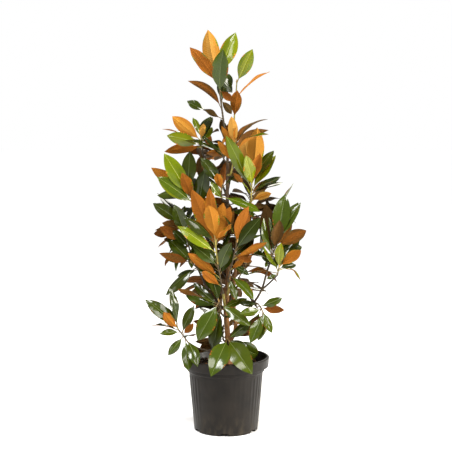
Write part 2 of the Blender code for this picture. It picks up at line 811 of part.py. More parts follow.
def nearest_on(path, place):
    """The nearest point to a place on a path."""
    best = None
    for a, b in zip(path, path[1:]):
        share = max(0.0, min(1.0, (place - a).dot(b - a) / (b - a).length_squared))
        point = a.lerp(b, share)
        if best is None or (place - point).length < (place - best).length:
            best = point
    return best


def point_at_height(path, height):
    for a, b in zip(path, path[1:]):
        if a.z <= height <= b.z:
            return a.lerp(b, (height - a.z) / (b.z - a.z))
    return path[-1]


def twig_paths(mass):
    """The mass's stem up to the top of its first shoot, then a twig to each other shoot."""
    carrier = limb_path(LIMBS[mass.limb])
    if mass.height is None:
        ahead = (carrier[-1] - carrier[-2]).normalized() * STEM_START
        start = [carrier[-1] - ahead, carrier[-1] + ahead]
    else:
        start = [point_at_height(carrier, mass.height * CM)]
    foot, top = shoot_path(mass.shoots[0])
    paths = [smooth_path(start + [foot, top], TWIG_STEPS)]
    for shoot in mass.shoots[1:]:
        foot, top = shoot_path(shoot)
        paths.append(smooth_path([nearest_on(paths[0], foot), foot, top], TWIG_STEPS))
    return paths


def twig_radii(mass, path, first):
    """Radii from the limb's tip, or a twig's, to a slim end."""
    foot = min(LIMBS[mass.limb].tip_radius, STEM_RADIUS) if first else TWIG_RADIUS
    steps = len(path) - 1
    return [foot + (TWIG_RADIUS * TWIG_END - foot) * index / steps for index in range(len(path))]


def grow_masses(parts, limbs, fixed):
    """Choose each mass's twigs and leaves so that none touches another."""
    limb_solids = [mesh_solid(item) for item in limbs.values()] + [mesh_solid(item) for item in fixed]
    paths, shapes, others, blades = {}, {}, {}, {}
    for name, mass in MASSES.items():
        paths[name] = twig_paths(mass)
        shapes[name] = [twig_shape(mass, path, index == 0) for index, path in enumerate(paths[name])]
        others[name] = [solid_of(shape) for shape in shapes[name]]
        blades[name] = []

    def fits(name, leaf):
        whole = solid_of(leaf_shape(leaf, LEAF_CLEARANCE))
        strangers = [solid for other, solids in others.items() if other != name for solid in solids]
        blade = solid_of(leaf_shape(leaf, LEAF_CLEARANCE, [BLADE_FOOT]))
        return not (touches(whole, limb_solids) or touches(whole, strangers)
                    or touches(blade, blades[name]))

    def add(name, leaf):
        shapes[name].append(leaf_shape(leaf))
        others[name].append(solid_of(leaf_shape(leaf)))
        blades[name].append(solid_of(leaf_shape(leaf, 0.0, [BLADE_FOOT])))

    missed = []
    for name, mass in MASSES.items():
        for place, shoot in enumerate(mass.shoots):
            for index, row in enumerate(shoot.leaves):
                share = (index / max(len(shoot.leaves) - 1, 1)) ** KEY_CROWDING
                foot = node_place(paths[name][place], share)
                for attempt in range(TRIES):
                    leaf = placed_leaf(foot, row, attempt)
                    if fits(name, leaf):
                        add(name, leaf)
                        break
                else:
                    missed.append((name, place, index))
    print("leaves left out:", missed)
    count = 0
    for name, mass in MASSES.items():
        for place, shoot in enumerate(mass.shoots):
            axis = (seen(shoot.top) - seen(shoot.foot)).normalized()
            front = bool(shoot.leaves)
            for index in range(shoot.fill):
                share = (index + 0.5) / shoot.fill
                foot = node_place(paths[name][place], share)
                for attempt in range(TRIES):
                    leaf = rule_leaf(foot, axis, f"{name} {place}", index, share, attempt)
                    if within_crown(leaf, front) and fits(name, leaf):
                        add(name, leaf)
                        count += 1
                        break
    print("leaves by rule:", count, "all:", sum(len(found) for found in blades.values()))
    return shapes


def shape_object(name, shape, collection):
    corners, faces = shape
    mesh = bpy.data.meshes.new(name)
    mesh.from_pydata(corners, [], faces)
    body = bmesh.new()
    body.from_mesh(mesh)
    bmesh.ops.recalc_face_normals(body, faces=body.faces)
    body.to_mesh(mesh)
    body.free()
    return new_object(name, mesh, collection)


def fuse(name, shapes, limb_sheath, parts):
    """One body from a mass's twigs and leaves, its stem cut clear of the limb."""
    made = shape_object(name, shapes[0], parts)
    cut(made, limb_sheath)
    pieces = new_collection(name + "_pieces")
    for index, shape in enumerate(shapes[1:]):
        shape_object(f"{name}_{index}", shape, pieces)
    union = made.modifiers.new("fuse", "BOOLEAN")
    union.operation = "UNION"
    union.operand_type = "COLLECTION"
    union.collection = pieces
    union.solver = "MANIFOLD"
    apply_modifiers(made)
    keep_largest_body(made)
    for piece in list(pieces.objects):
        bpy.data.objects.remove(piece)
    bpy.data.collections.remove(pieces)
    return made


def make_masses(parts, limbs, sheaths, fixed):
    foliage = material("leaves", (0.11, 0.17, 0.035), 0.4)
    for name, shapes in grow_masses(parts, limbs, fixed).items():
        made = fuse(name, shapes, sheaths[MASSES[name].limb], parts)
        smooth(made, math.radians(30))
        made.data.materials.append(foliage)


def main():
    clear_scene()
    parts = new_collection("potted magnolia")
    cutters = new_collection("cutters")
    pot = make_pot(parts, cutters)
    compost = make_compost(parts)
    limbs, sheaths = make_limbs(parts, cutters)
    make_masses(parts, limbs, sheaths, [pot, compost])


main()
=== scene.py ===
"""The looks of a young evergreen magnolia in a nursery pot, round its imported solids."""
import json
import math
import random
from collections import namedtuple
from itertools import combinations

import bmesh
import bpy
import numpy as np
from mathutils import Matrix, Quaternion, Vector, noise
from mathutils.bvhtree import BVHTree

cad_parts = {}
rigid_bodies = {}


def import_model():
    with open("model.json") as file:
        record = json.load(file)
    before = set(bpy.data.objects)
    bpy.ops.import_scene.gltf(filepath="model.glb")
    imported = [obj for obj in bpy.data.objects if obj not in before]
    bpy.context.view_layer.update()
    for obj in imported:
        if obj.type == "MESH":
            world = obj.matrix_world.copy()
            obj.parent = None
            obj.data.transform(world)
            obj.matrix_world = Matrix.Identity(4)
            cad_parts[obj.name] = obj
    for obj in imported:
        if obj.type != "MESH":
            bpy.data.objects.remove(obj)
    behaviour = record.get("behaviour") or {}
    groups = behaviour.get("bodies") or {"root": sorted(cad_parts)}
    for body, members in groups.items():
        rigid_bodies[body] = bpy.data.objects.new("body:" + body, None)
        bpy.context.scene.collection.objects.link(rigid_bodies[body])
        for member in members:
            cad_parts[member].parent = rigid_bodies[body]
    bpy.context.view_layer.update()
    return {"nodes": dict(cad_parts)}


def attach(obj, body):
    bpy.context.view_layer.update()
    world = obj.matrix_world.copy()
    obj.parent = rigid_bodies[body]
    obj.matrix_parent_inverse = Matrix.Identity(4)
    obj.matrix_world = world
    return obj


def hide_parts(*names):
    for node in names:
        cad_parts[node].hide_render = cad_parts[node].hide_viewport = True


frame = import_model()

CM = 0.01

# Pot and compost, as their solids have them
POT_HEIGHT = 0.273
RIM_RADIUS = 0.160
RIM_DEPTH = 0.036
COLLAR_RADIUS = 0.1425
COLLAR_DEPTH = 0.020
BODY_TOP_RADIUS = 0.137
BASE_RADIUS = 0.118
WALL = 0.003
FLOOR = 0.014
RIM_FOOT = POT_HEIGHT - RIM_DEPTH
COLLAR_FOOT = RIM_FOOT - COLLAR_DEPTH
NOTCHES = 6
NOTCH_WIDTH = 0.040
NOTCH_TOP_WIDTH = 0.022
NOTCH_HEIGHT = 0.010
NOTCH_TURN = math.radians(-3)
SOIL_TOP = 0.240

# The eye that the places below were read off from
EYE_DISTANCE = 4.0
EYE_HEIGHT = 1.13
EYE_PITCH = math.radians(5.35)
LENS_MM = 87.4

# The source's rule of growth
FLARE_HEIGHT = 0.035
FLARE = 1.55
LIMB_STEPS = 2
STEM_START = 0.004
STEM_RADIUS = 0.0042
TWIG_RADIUS = 0.0028
TWIG_END = 0.8
TWIG_STEPS = 2
BUD_LENGTH = 0.016
LEAF_WIDTH = 0.36
LEAF_WIDEST = 0.062
LEAF_ARCH = 0.05
LEAF_FOLD = 0.10
LEAF_KEEL = 0.0014
KEEL_STATIONS = (0.46, 0.78)
STANDS_WITHIN = 0.0003
BLADE_START = 0.12
KEY_CROWDING = 0.7
TRIES = 20
DEPTH_STEP = 0.6 * CM
TURN_STEP = math.radians(4)
GOLDEN_ANGLE = math.radians(137.5)
FILL_LENGTH = (0.115, 0.155)
FILL_SPREAD = (math.radians(112), math.radians(34))
FILL_ROLL = math.radians(25)
FILL_ARCH = (0.02, 0.12)
FILL_LIFT = 0.6
FILL_TILT = 0.3
SPIRAL_WOBBLE = 0.4
SPIRAL_RETRY = 0.7
SPREAD_WOBBLE = 0.2

Limb = namedtuple("Limb", "parent foot_radius tip_radius path")
Shoot = namedtuple("Shoot", "foot top fill leaves ages", defaults=[(), ""])
Mass = namedtuple("Mass", "limb height shoots")
Leaf = namedtuple("Leaf", "foot tip upper twist arch half")

LIMBS = {
    "trunk": Limb("compost", 0.0115, 0.0042, [
        (1, 0, 23.2), (1, 0, 28.5), (0.5, 0, 36.5), (0, 0.5, 44.5), (0.5, 1, 53), (1, 1, 60.5),
        (0.5, 1, 69.5), (0.5, 0.5, 81), (0.5, 0.5, 92), (0.5, 0, 103), (-0.5, 0, 111),
    ]),
    "right_stem": Limb("trunk", 0.0085, 0.0038, [
        (0.8, 0, 29), (2, 0.5, 33.5), (3.5, 1, 37.5), (3, 1, 44.5), (2.6, 1.8, 51.5),
        (3.5, 2, 59.5), (5, 2, 68), (7.5, 1, 76.5), (8.8, 0, 81.5),
    ]),
    "dark_stem": Limb("right_stem", 0.0050, 0.0034, [
        (2.8, 1, 35.5), (5, 0, 37.5), (7.5, -2, 43), (11.5, -4, 49), (13.5, -4.5, 53),
        (15, -4.5, 58.5), (16, -4.5, 61.5),
    ]),
    "right_low_bough": Limb("dark_stem", 0.0034, 0.0028, [
        (13.2, -4.5, 52), (16, -5.5, 54.5), (18.5, -7, 57),
    ]),
    "front_stem": Limb("trunk", 0.0058, 0.0050, [(0, 0.5, 44), (-0.7, -2.5, 47.5), (-1, -4, 50.5)]),
    "mid_right_bough": Limb("trunk", 0.0045, 0.0038, [(0.4, 1, 49.5), (1, -2, 53), (1, -4, 55)]),
    "low_left_bough": Limb("trunk", 0.0042, 0.0032, [
        (1, 0, 27), (-4.5, -3.5, 28.8), (-10, -6, 30), (-13.5, -7, 32),
    ]),
    "left_bough": Limb("trunk", 0.0052, 0.0034, [
        (0, 1, 44), (-4, 3, 48.5), (-7, 4, 53), (-9.5, 3, 58), (-13, 2, 65.5),
    ]),
    "left_mid_bough": Limb("trunk", 0.0048, 0.0034, [
        (0.5, 1.5, 67.5), (-2.5, 3, 73.5), (-6.5, 3, 78), (-9, 1.5, 81),
    ]),
    "upper_left_bough": Limb("trunk", 0.0045, 0.0034, [
        (0.5, 1, 86), (-2.5, 1, 93), (-6.5, 0, 98.5), (-8.5, -1, 102),
    ]),
    "upper_right_bough": Limb("trunk", 0.0040, 0.0032, [(0.5, 0, 100), (2, 1.5, 106), (3, 2, 112.5)]),
    "rear_low_bough": Limb("trunk", 0.0050, 0.0036, [(0.3, 0.5, 41), (1, 4, 45), (2, 8, 50)]),
    "rear_left_bough": Limb("trunk", 0.0050, 0.0036, [(0.8, 1, 56), (-3, 5, 61), (-6, 8.5, 67)]),
    "rear_right_bough": Limb("right_stem", 0.0048, 0.0036, [
        (4.8, 2, 66.5), (7.5, 6, 71.5), (9, 8.5, 77),
    ]),
    "rear_top_bough": Limb("trunk", 0.0044, 0.0034, [(0.5, 0.5, 88), (1.5, 4, 93), (2, 6.5, 98)]),
}

# A shoot's placed leaves, then the age of each: 0 new, 1 young, 2 full-grown, 3 old and in painted
# shade
MASSES = {
    "crown_top": Mass("trunk", None, [Shoot((-1, 0, 114.5), (-3.2, -1, 131), 0, [
        (-14, -3, 121, 190, 1, -190), (-13.5, 0, 128.5, 150, 0.6, 0, 3.5), (1, 10, 131, 20),
        (2, -1.5, 116.3, 160, 1.2), (-1.2, -6, 139.5, 15), (2.5, -1.5, 121, 165, 1.2),
        (-13, -4.5, 140.5, 165, 0.75), (-6.5, -3, 146.5, 180), (3.5, 3, 145.5, 10),
        (2.4, 3, 124, 20),
    ], "3223221003")]),
    "crown_right": Mass("upper_right_bough", None, [Shoot((3, 2, 114.5), (3.9, 1.5, 127.5), 1, [
        (4.2, -4.5, 125, 180), (15.5, 0, 132, 95), (9.5, -3, 139.5, 5),
    ], "110")]),
    "upper_front": Mass("trunk", 94, [
        Shoot((2, -4, 95.5), (3.5, -5, 106), 5, [
            (6, -7, 91.5, 165), (-3, -6, 106.5, 170, 0.8), (-1.5, -4.5, 112, 160, 0.7),
            (15.5, 3, 110.5, 140, 0.65, 0, 3.5), (2, -7.5, 115.5, 180, 0.85),
            (3.5, -6, 111.5, 130),
        ], "211201"),
        Shoot((-0.5, -3, 99.5), (-1.5, -4, 103), 2, [(-7.5, -1.5, 109, 80)], "3"),
    ]),
    "upper_left": Mass("upper_left_bough", None, [Shoot((-8.5, -1, 102.8), (-9, -1.5, 107.5), 5, [
        (-10, 1.5, 94, 180), (-5, 1.5, 106, 175), (-22.5, 3, 102.5, 165, 0.75, 0, 2),
        (-21.5, -6, 108.5, 15), (-23, 4.5, 111, 85), (-5, 4.5, 111.5, 20),
        (-19.5, -4.5, 115.5, 170), (-8, -6, 113, 180, 0.85), (-12, 4.5, 115.5, 10, 0.6),
    ], "321111000")]),
    "trunk_left": Mass("trunk", 84, [Shoot((-1.5, -2, 85.5), (-1.5, -3, 90.5), 3, [
        (-5.5, -6, 91.5, 10), (-3.5, -7.5, 95, 180), (-9, -6, 100.5, 15),
    ], "113")]),
    "left_upper": Mass("left_mid_bough", None, [Shoot((-10.5, 1, 82), (-14, -1.5, 88), 8, [
        (-7.5, -1.5, 96.5, 10), (-25, -4.5, 93.5, 20), (-16, -7.5, 95, 170, 0.85),
        (-19.5, 0, 96, 15), (-22.5, -4.5, 102, 5), (-27, 1.5, 97, 160, 0.8), (-15, -1.5, 99, 20),
        (-13, 3, 103, 30),
    ], "31110123")]),
    "left_mid": Mass("left_bough", None, [Shoot((-13.5, 1.5, 67.5), (-16.5, 0, 78), 8, [
        (-19.5, 0, 74, 20), (-24.5, -4.5, 75, 175), (-19, -4.5, 83.5, 10),
        (-26, 1.5, 74, 120, 0.9, 0, 2), (-23.5, 4.5, 76.5, 170), (-26.5, -1.5, 84, 15),
        (-15, 1.5, 83, 20),
    ], "3222233")]),
    "left_low": Mass("left_bough", 57, [Shoot((-10.2, 1, 59.5), (-12.5, -1.5, 62), 2, [
        (-18, 1.5, 57, 15, 0.8), (-24.5, -3, 65.5, 165, 0.8, 60),
    ], "32")]),
    "front_fan": Mass("front_stem", None, [
        Shoot((-1.5, -4.5, 53), (-3, -7.5, 61.5), 5, [
            (-9, -10, 59, 175, 0.8), (-10.5, -4.5, 61, 15), (-14, -10, 65.5, 165, 0.7),
            (2.5, -6, 66.5, 20), (2, -10.5, 69.5, 15), (-15, -6, 72.5, 15), (-12, -9, 68.5, 15),
            (-9.5, -4.5, 70.5, 15),
        ], "12132322"),
        Shoot((-3.5, -9, 65.5), (-4, -10.5, 70.5), 5, [
            (-17.5, -12, 75.5, 10, 0.7), (-12.5, -6, 89, 175), (-6.5, -3, 86.5, 175),
            (3, -3, 81, 160), (-1, -9, 84, 175), (1.5, -6, 82.5, 165), (1.5, -15, 77, 130, 0.8),
            (-6.5, -16.5, 83.5, 180), (-6, -8, 89.5, 180, 0.7),
        ], "011211101"),
    ]),
    "mid_right": Mass("mid_right_bough", None, [Shoot((1, -4.5, 56.5), (4, -9, 69.5), 6, [
        (4, -9, 48, 10, 0.8), (6.5, -11, 63, 175, 0.65), (8.5, -7.5, 57.5, 20),
        (15, -11, 70, 140, 0.65), (9.5, -7.5, 62.5, 170), (12.5, -10.5, 78.5, 15),
        (8, -12, 83, 140, 0.85), (8, -4.5, 81.5, 170),
    ], "21312312")]),
    "upper_right": Mass("right_stem", None, [Shoot((9, -0.5, 83), (9.5, -1.5, 92), 7, [
        (14.5, 0, 83, 175), (16.5, -6, 87.5, 165, 0.85), (14, 3, 88.5, 170), (6, -4.5, 92, 80),
        (20, 4.5, 93.5, 50, 0.85), (18, 3, 101.5, 40, 0.85), (0, -7, 108.5, 10, 0.8),
        (7, -9, 101.5, 20, 0.9), (12, -6, 102.5, 165, 0.85), (6.3, 1.5, 109, 170, 0.95),
        (11.3, -1.5, 111.5, 180),
    ], "30313010100")]),
    "right": Mass("dark_stem", None, [Shoot((16, -4.5, 62.5), (19, -6, 69.5), 7, [
        (14.5, -9, 60.5, 20), (13.5, -7.5, 78.5, 70), (14.5, -3, 83.5, 160), (16, -4.5, 79, 60),
        (28, 3, 68, 30), (19.5, -9, 78, 175), (24, -4.5, 78, 170), (29.5, -10.5, 74, 175),
        (21.5, -1.5, 87.5, 10), (26.5, 3, 84, 20), (27, 2, 84.5, 60, 0.7),
    ], "22333322222")]),
    "right_low": Mass("right_low_bough", None, [Shoot((19, -7, 57.8), (19.5, -7.5, 60.5), 5, [
        (15, -9, 56, 20), (13.5, -7.5, 68.5, 75), (27.5, -7, 54.5, 100, 0.7, 0, 3),
        (26, -3, 61.5, 20), (20, -10.5, 69, 15), (27.5, -12, 66.5, 175),
    ], "311301")]),
    "right_hang": Mass("dark_stem", 47.7, [Shoot((12, -6, 46.5), (14, -7.5, 43), 3, [
        (5, -4.5, 47, 15), (20.5, -9, 49, 15), (21.5, -6, 44.5, 165), (5, -12, 43, 10),
        (17, -10.5, 36, 15), (12, -9, 33, 10), (9, -12, 32, 10), (7, -7.5, 36, 170),
    ], "32222223")]),
    "low_centre": Mass("trunk", 42, [Shoot((-1.6, -3.5, 43), (-2.6, -6, 47.5), 5, [
        (-8.5, -6, 43, 15), (-4.5, -7, 29, 20), (-7.5, -7.5, 35.5, 15), (-12, 0, 54.5, 15, 0.75),
        (-18, -7.5, 52.5, 20, 0.55, 150), (9, -11, 38.5, 10, 0.8), (-10.5, -10, 33, 5, 1.15),
    ], "2323222")]),
    "rim_front": Mass("trunk", 31, [Shoot((0.5, -3, 32.5), (0.5, -6.5, 33.5), 2, [
        (-5, -5, 28, 10), (-11.5, -4, 32.5, 160, 0.65), (8, -4, 31, 15, 0.7), (12.5, 8, 27.5, 15),
        (-5.5, -19.5, 19.8, 5, 1.15, 0, 2.5), (9.6, -17.5, 20.6, 5, 1.2, 0, 2.5),
    ], "333222")]),
    "low_left": Mass("low_left_bough", None, [Shoot((-14.5, -7, 33), (-18.5, -8, 38.5), 3, [
        (-10.5, -15, 23, 10, 0.95, 0, 1.5), (-14, -12.5, 21.5, 20), (-21.5, -9, 27.5, 15),
        (-12, -10.5, 39.5, 175), (-12, -7, 46, 20), (-24.5, -9, 35.5, 30), (-27.5, -6, 39, 75),
        (-23, -12.5, 43.5, 180), (-29.5, -7, 48.5, 15, 0.9), (-20.8, -9, 53, 40, 0.7),
        (-23, -3.5, 46.5, 15),
    ], "22223221233")]),
    "rear_foot": Mass("trunk", 32, [Shoot((-1, 4, 33.5), (-1, 8.5, 38), 9)]),
    "rear_low": Mass("rear_low_bough", None, [
        Shoot((2, 9, 51), (3, 15, 57), 14), Shoot((3.5, 10, 54), (8.5, 14, 64), 9),
        Shoot((1, 10, 52.5), (-6, 14, 56), 9),
    ]),
    "rear_left": Mass("rear_left_bough", None, [
        Shoot((-6, 9.5, 68), (-6, 15, 76), 13), Shoot((-8, 10.5, 69.5), (-15, 11, 73), 9),
        Shoot((-4, 12, 72), (1, 16, 71), 8),
    ]),
    "rear_right": Mass("rear_right_bough", None, [
        Shoot((9, 9.5, 78), (9, 14, 86), 13), Shoot((11, 9.5, 79), (17, 9, 81), 9),
        Shoot((8, 12, 82), (3, 16, 81), 8),
    ]),
    "rear_top": Mass("rear_top_bough", None, [
        Shoot((2, 7.5, 99), (1.5, 9.5, 104), 11), Shoot((1, 8, 101), (-4, 12, 103), 9),
    ]),
}

FILL_AGES = (0, 1, 6, 6)  # how often a leaf by rule has each age


def seen(place):
    """The point at a place's depth on the line of sight through it, in metres."""
    across, depth, up = (value * CM for value in place)
    scale = 1 + depth / EYE_DISTANCE
    return Vector((across * scale, depth, EYE_HEIGHT + (up - EYE_HEIGHT) * scale))


def polar(radius, turn):
    return radius * math.cos(turn), radius * math.sin(turn)


def spun(turns, start, quarter):
    """Directions at turns from the start towards the one a quarter round."""
    return np.outer(np.cos(turns), start) + np.outer(np.sin(turns), quarter)


def smooth_path(points, steps):
    """A Catmull-Rom curve through the points, with steps between each two."""
    if len(points) < 3:
        return list(points)
    ends = [points[0] * 2 - points[1], *points, points[-1] * 2 - points[-2]]
    path = []
    for a, b, c, d in zip(ends, ends[1:], ends[2:], ends[3:]):
        for step in range(steps):
            t = step / steps
            path.append(0.5 * (2 * b + (c - a) * t + (2 * a - 5 * b + 4 * c - d) * t ** 2
                               + (3 * b - a - 3 * c + d) * t ** 3))
    path.append(points[-1].copy())
    return path


def limb_path(limb):
    return smooth_path([seen(place) for place in limb.path], LIMB_STEPS)


def leaf_lines(leaf, alongs, draw, own=1.0):
    """Midrib places, side and upper directions at stations, and the leaf's length.

    It has a share of its own droop and sway, and at a share of 0 it is the solid leaf.
    """
    chord = leaf.tip - leaf.foot
    length = chord.length
    forward = chord / length
    upper = (leaf.upper - forward * leaf.upper.dot(forward)).normalized()
    side = upper.cross(forward)
    upper, side, foot = (np.array(each) for each in (upper, side, leaf.foot))
    turn = leaf.twist * alongs + own * draw.uniform(*OWN_TWIST) * alongs ** 2
    ups, sides = spun(turn, upper, -side), spun(turn, side, upper)
    places = foot + np.outer(alongs, chord)
    places += np.outer(leaf.arch * 4 * alongs * (1 - alongs), upper)
    places -= ups * (own * draw.uniform(*DROOP) * length * alongs ** 3)[:, None]
    places += sides * (own * draw.uniform(*SWAY) * length * np.sin(math.pi * alongs))[:, None]
    return places, sides, ups, length


def turned_upper(foot, tip, turn):
    """The direction of a leaf's upper side, turned from facing the eye."""
    forward = (tip - foot).normalized()
    eye = Vector((0, -EYE_DISTANCE, EYE_HEIGHT)) - foot
    facing = (eye - forward * eye.dot(forward)).normalized()
    aside = facing.cross(forward)
    if aside.z < 0:
        aside = -aside
    return facing * math.cos(turn) + aside * math.sin(turn)


def placed_leaf(foot, row, attempt):
    """A leaf from its row, moved a little in depth and turn at each attempt."""
    across, depth, up, turn, broad, twist, arch = row + (1, 0, None)[len(row) - 4:]
    nudge = (attempt + 1) // 2 * (1 if attempt % 2 else -1)
    tip = seen((across, depth, up)) + Vector((0, nudge * DEPTH_STEP, 0))
    upper = turned_upper(foot, tip, math.radians(turn) + nudge * TURN_STEP)
    length = (tip - foot).length
    rise = LEAF_ARCH * length if arch is None else arch * CM
    return Leaf(foot, tip, upper, math.radians(twist), rise, broad * half_width(length))


def half_width(length):
    return min(length * LEAF_WIDTH, LEAF_WIDEST) / 2


def rule_leaf(foot, axis, key, index, share, attempt):
    """A leaf of the spiral round a shoot, drawn anew at each attempt."""
    draw = random.Random(f"{key} {index} {attempt}")
    aside = axis.cross(Vector((0.3, 1, 0.2))).normalized()
    wobble = draw.uniform(-SPIRAL_WOBBLE, SPIRAL_WOBBLE)
    angle = index * GOLDEN_ANGLE + wobble + attempt * SPIRAL_RETRY
    outward = Quaternion(axis, angle) @ aside
    spread = FILL_SPREAD[0] + (FILL_SPREAD[1] - FILL_SPREAD[0]) * share
    spread += draw.uniform(-SPREAD_WOBBLE, SPREAD_WOBBLE)
    forward = axis * math.cos(spread) + outward * math.sin(spread)
    length = draw.uniform(*FILL_LENGTH)
    upper = Quaternion(forward, draw.uniform(-FILL_ROLL, FILL_ROLL)) @ (
        axis + Vector((0, 0, FILL_LIFT)) - outward * FILL_TILT)
    rise = length * draw.uniform(*FILL_ARCH)
    return Leaf(foot, foot + forward * length, upper, 0.0, rise, half_width(length))


def node_place(path, share):
    """A place on the shoot that ends a twig's path, from its foot at 0 to its top at 1."""
    step = min(int(share * TWIG_STEPS), TWIG_STEPS - 1)
    a, b = path[step - TWIG_STEPS - 1], path[step - TWIG_STEPS]
    return a.lerp(b, share * TWIG_STEPS - step)


def nearest_on(path, place):
    """The nearest point to a place on a path."""
    points = []
    for a, b in zip(path, path[1:]):
        share = max(0.0, min(1.0, (place - a).dot(b - a) / (b - a).length_squared))
        points.append(a.lerp(b, share))
    return min(points, key=lambda point: (place - point).length)


def point_at_height(path, height):
    for a, b in zip(path, path[1:]):
        if a.z <= height <= b.z:
            return a.lerp(b, (height - a.z) / (b.z - a.z))
    return path[-1]


def twig_paths(mass, steps=TWIG_STEPS):
    """The mass's stem up to the top of its first shoot, then a twig to each other shoot."""
    carrier = limb_path(LIMBS[mass.limb])
    if mass.height is None:
        ahead = (carrier[-1] - carrier[-2]).normalized() * STEM_START
        start = [carrier[-1] - ahead, carrier[-1] + ahead]
    else:
        start = [point_at_height(carrier, mass.height * CM)]
    paths = []
    for shoot in mass.shoots:
        foot, top = seen(shoot.foot), seen(shoot.top)
        if paths:
            start = [nearest_on(paths[0], foot)]
        paths.append(smooth_path(start + [foot, top], steps))
    return paths


def stands(leaf, tree):
    """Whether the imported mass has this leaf: corners of its keel and its tip lie on the surface."""
    places, _, ups, _ = leaf_lines(leaf, np.array(KEEL_STATIONS), random.Random(0), 0.0)
    return all(tree.find_nearest(Vector(place))[3] < STANDS_WITHIN
               for place in (leaf.tip, *(places - ups * LEAF_KEEL)))


def shown(tree, grow, *given):
    """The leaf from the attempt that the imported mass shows, or None."""
    attempts = (grow(*given, attempt) for attempt in range(TRIES))
    return next((leaf for leaf in attempts if stands(leaf, tree)), None)


def grown_leaves(name, mass):
    """(leaf, age, twig, key) for each leaf of a mass that its solid shows."""
    mesh = frame["nodes"][name].data
    tree = BVHTree.FromPolygons([vertex.co for vertex in mesh.vertices],
                                [tuple(face.vertices) for face in mesh.polygons])
    paths = twig_paths(mass)
    found = []
    for place, shoot in enumerate(mass.shoots):
        twig = f"{name} {place}"
        for index, (row, age) in enumerate(zip(shoot.leaves, shoot.ages)):
            share = (index / max(len(shoot.leaves) - 1, 1)) ** KEY_CROWDING
            leaf = shown(tree, placed_leaf, node_place(paths[place], share), row)
            found.append((leaf, int(age), twig))
        axis = (seen(shoot.top) - seen(shoot.foot)).normalized()
        for index in range(shoot.fill):
            share = (index + 0.5) / shoot.fill
            foot = node_place(paths[place], share)
            leaf = shown(tree, rule_leaf, foot, axis, twig, index, share)
            age = random.Random(f"{twig} {index} age").choices(range(4), FILL_AGES)[0]
            found.append((leaf, age, twig))
    found = [each for each in found if each[0]]
    return [(*each, f"{name} {index} shape") for index, each in enumerate(found)]


# Blades: (share of the blade's length, share of the half width), and columns from midrib to edge
BLADE_PROFILE = (
    (0, 0.05), (0.05, 0.13), (0.12, 0.33), (0.22, 0.63), (0.34, 0.88), (0.47, 1.0),
    (0.60, 0.985), (0.72, 0.86), (0.82, 0.66), (0.90, 0.41), (0.96, 0.18), (1, 0.02),
)
BLADE_COLUMNS = (0.0, 0.22, 0.47, 0.74, 1.0)
MIDRIB_HALF = 0.0013
MIDRIB_GROOVE = 0.0004
MIDRIB_RIDGE = 0.0015
BLADE_THICKNESS = 0.0007
VEIN_SPACING = 0.0085
VEIN_SLANT = 0.7
PETIOLE_HALF = 0.0017
PETIOLE_SIDES = 8
PETIOLE_SHAPE = (1.5, 1.05, 0.95, 0.85, 0.5)

# Each leaf's own shape, as ranges to draw from
OWN_TWIST = (-0.12, 0.12)
DROOP = (-0.03, 0.08)  # of its length
SWAY = (-0.028, 0.028)
WAVES = (1.2, 2.4)  # along a margin
WAVE_HEIGHT = (0.0012, 0.0052)
OLD_WAVE = 0.55  # of the height, from an age of 2
FOLD = (0.12, 0.42)  # rise over distance from the midrib
BACKWARD_FOLDS = 0.2
CURL = (0.0, 0.24)
QUILTS = (2.5, 5.0)
QUILT_HEIGHT = (0.0002, 0.0010)
TWO_TONED = 0.6  # share of leaves with margins of another kind

# Blades keep clear of each other from CLEAR_FROM on: where two cross, both get calmer
CLEAR_FROM = 0.24
CALM_STEP = 0.6
CALM_ROUNDS = 7

# Colours as seen, eight bits a channel: three kinds for each age, new to old; the upper sides of age
# 3 are those of age 2 darkened by a quarter, as painted shade
UPPER_COLOURS = (((110, 116, 6), (94, 108, 6), (102, 115, 9)),
                 ((80, 92, 8), (66, 82, 8), (92, 98, 8)),
                 ((62, 73, 12), (52, 63, 10), (56, 70, 14)),
                 # age 3: the full-grown greens darkened as painted shade
                 ((47, 55, 9), (38, 47, 7), (42, 52, 10)))
UNDER_COLOURS = (((176, 121, 43), (162, 104, 31), (180, 130, 56)),
                 ((156, 97, 26), (138, 80, 20), (146, 86, 18)),
                 ((118, 69, 17), (98, 62, 19), (108, 60, 14)),
                 ((84, 56, 20), (68, 46, 16), (76, 56, 24)))
MIDRIB_COLOURS = ((150, 154, 50), (108, 118, 38), (86, 98, 38), (68, 80, 30))
KINDS = 3
UNDER_SLOT = len(UPPER_COLOURS) * KINDS
RIB_SLOT = 2 * UNDER_SLOT
STALK_SLOT = RIB_SLOT + len(MIDRIB_COLOURS)
# Painted shade: the bark turns to this dark colour higher up, where the stems stand in the crown's
# shade
CROWN_SHADE_BARK = (54, 42, 30)
BARK_SHADE_HEIGHTS = (0.50, 0.80)  # between these heights
DRIED_SPLASH = (88, 78, 62)

# Twigs and bark
TWIG_STEP = 0.0022
TWIG_SIDES = 12
YOUNG_TWIG = 1.6  # mean age of the leaves under which a twig is young
BUD_SHAPE = ((0, 0.9), (0.1, 1.25), (0.25, 1.5), (0.45, 1.35), (0.7, 0.8), (0.9, 0.3), (1.0, 0.05))
BARK_STEP = 0.0035
THICK_LIMB = 0.008  # foot radius from which a limb has more sides
SCAR_GAP = (0.014, 0.04)
SCAR_WIDTH = 0.0016
COLLAR_LENGTH = 0.02  # of the swelling where a limb leaves its parent
LOBES = 4  # round the trunk's foot
LOBE_DEPTH, COLLAR_SWELL, SCAR_RISE, BARK_RELIEF = 0.10, 0.35, 0.045, 0.055  # of the radius

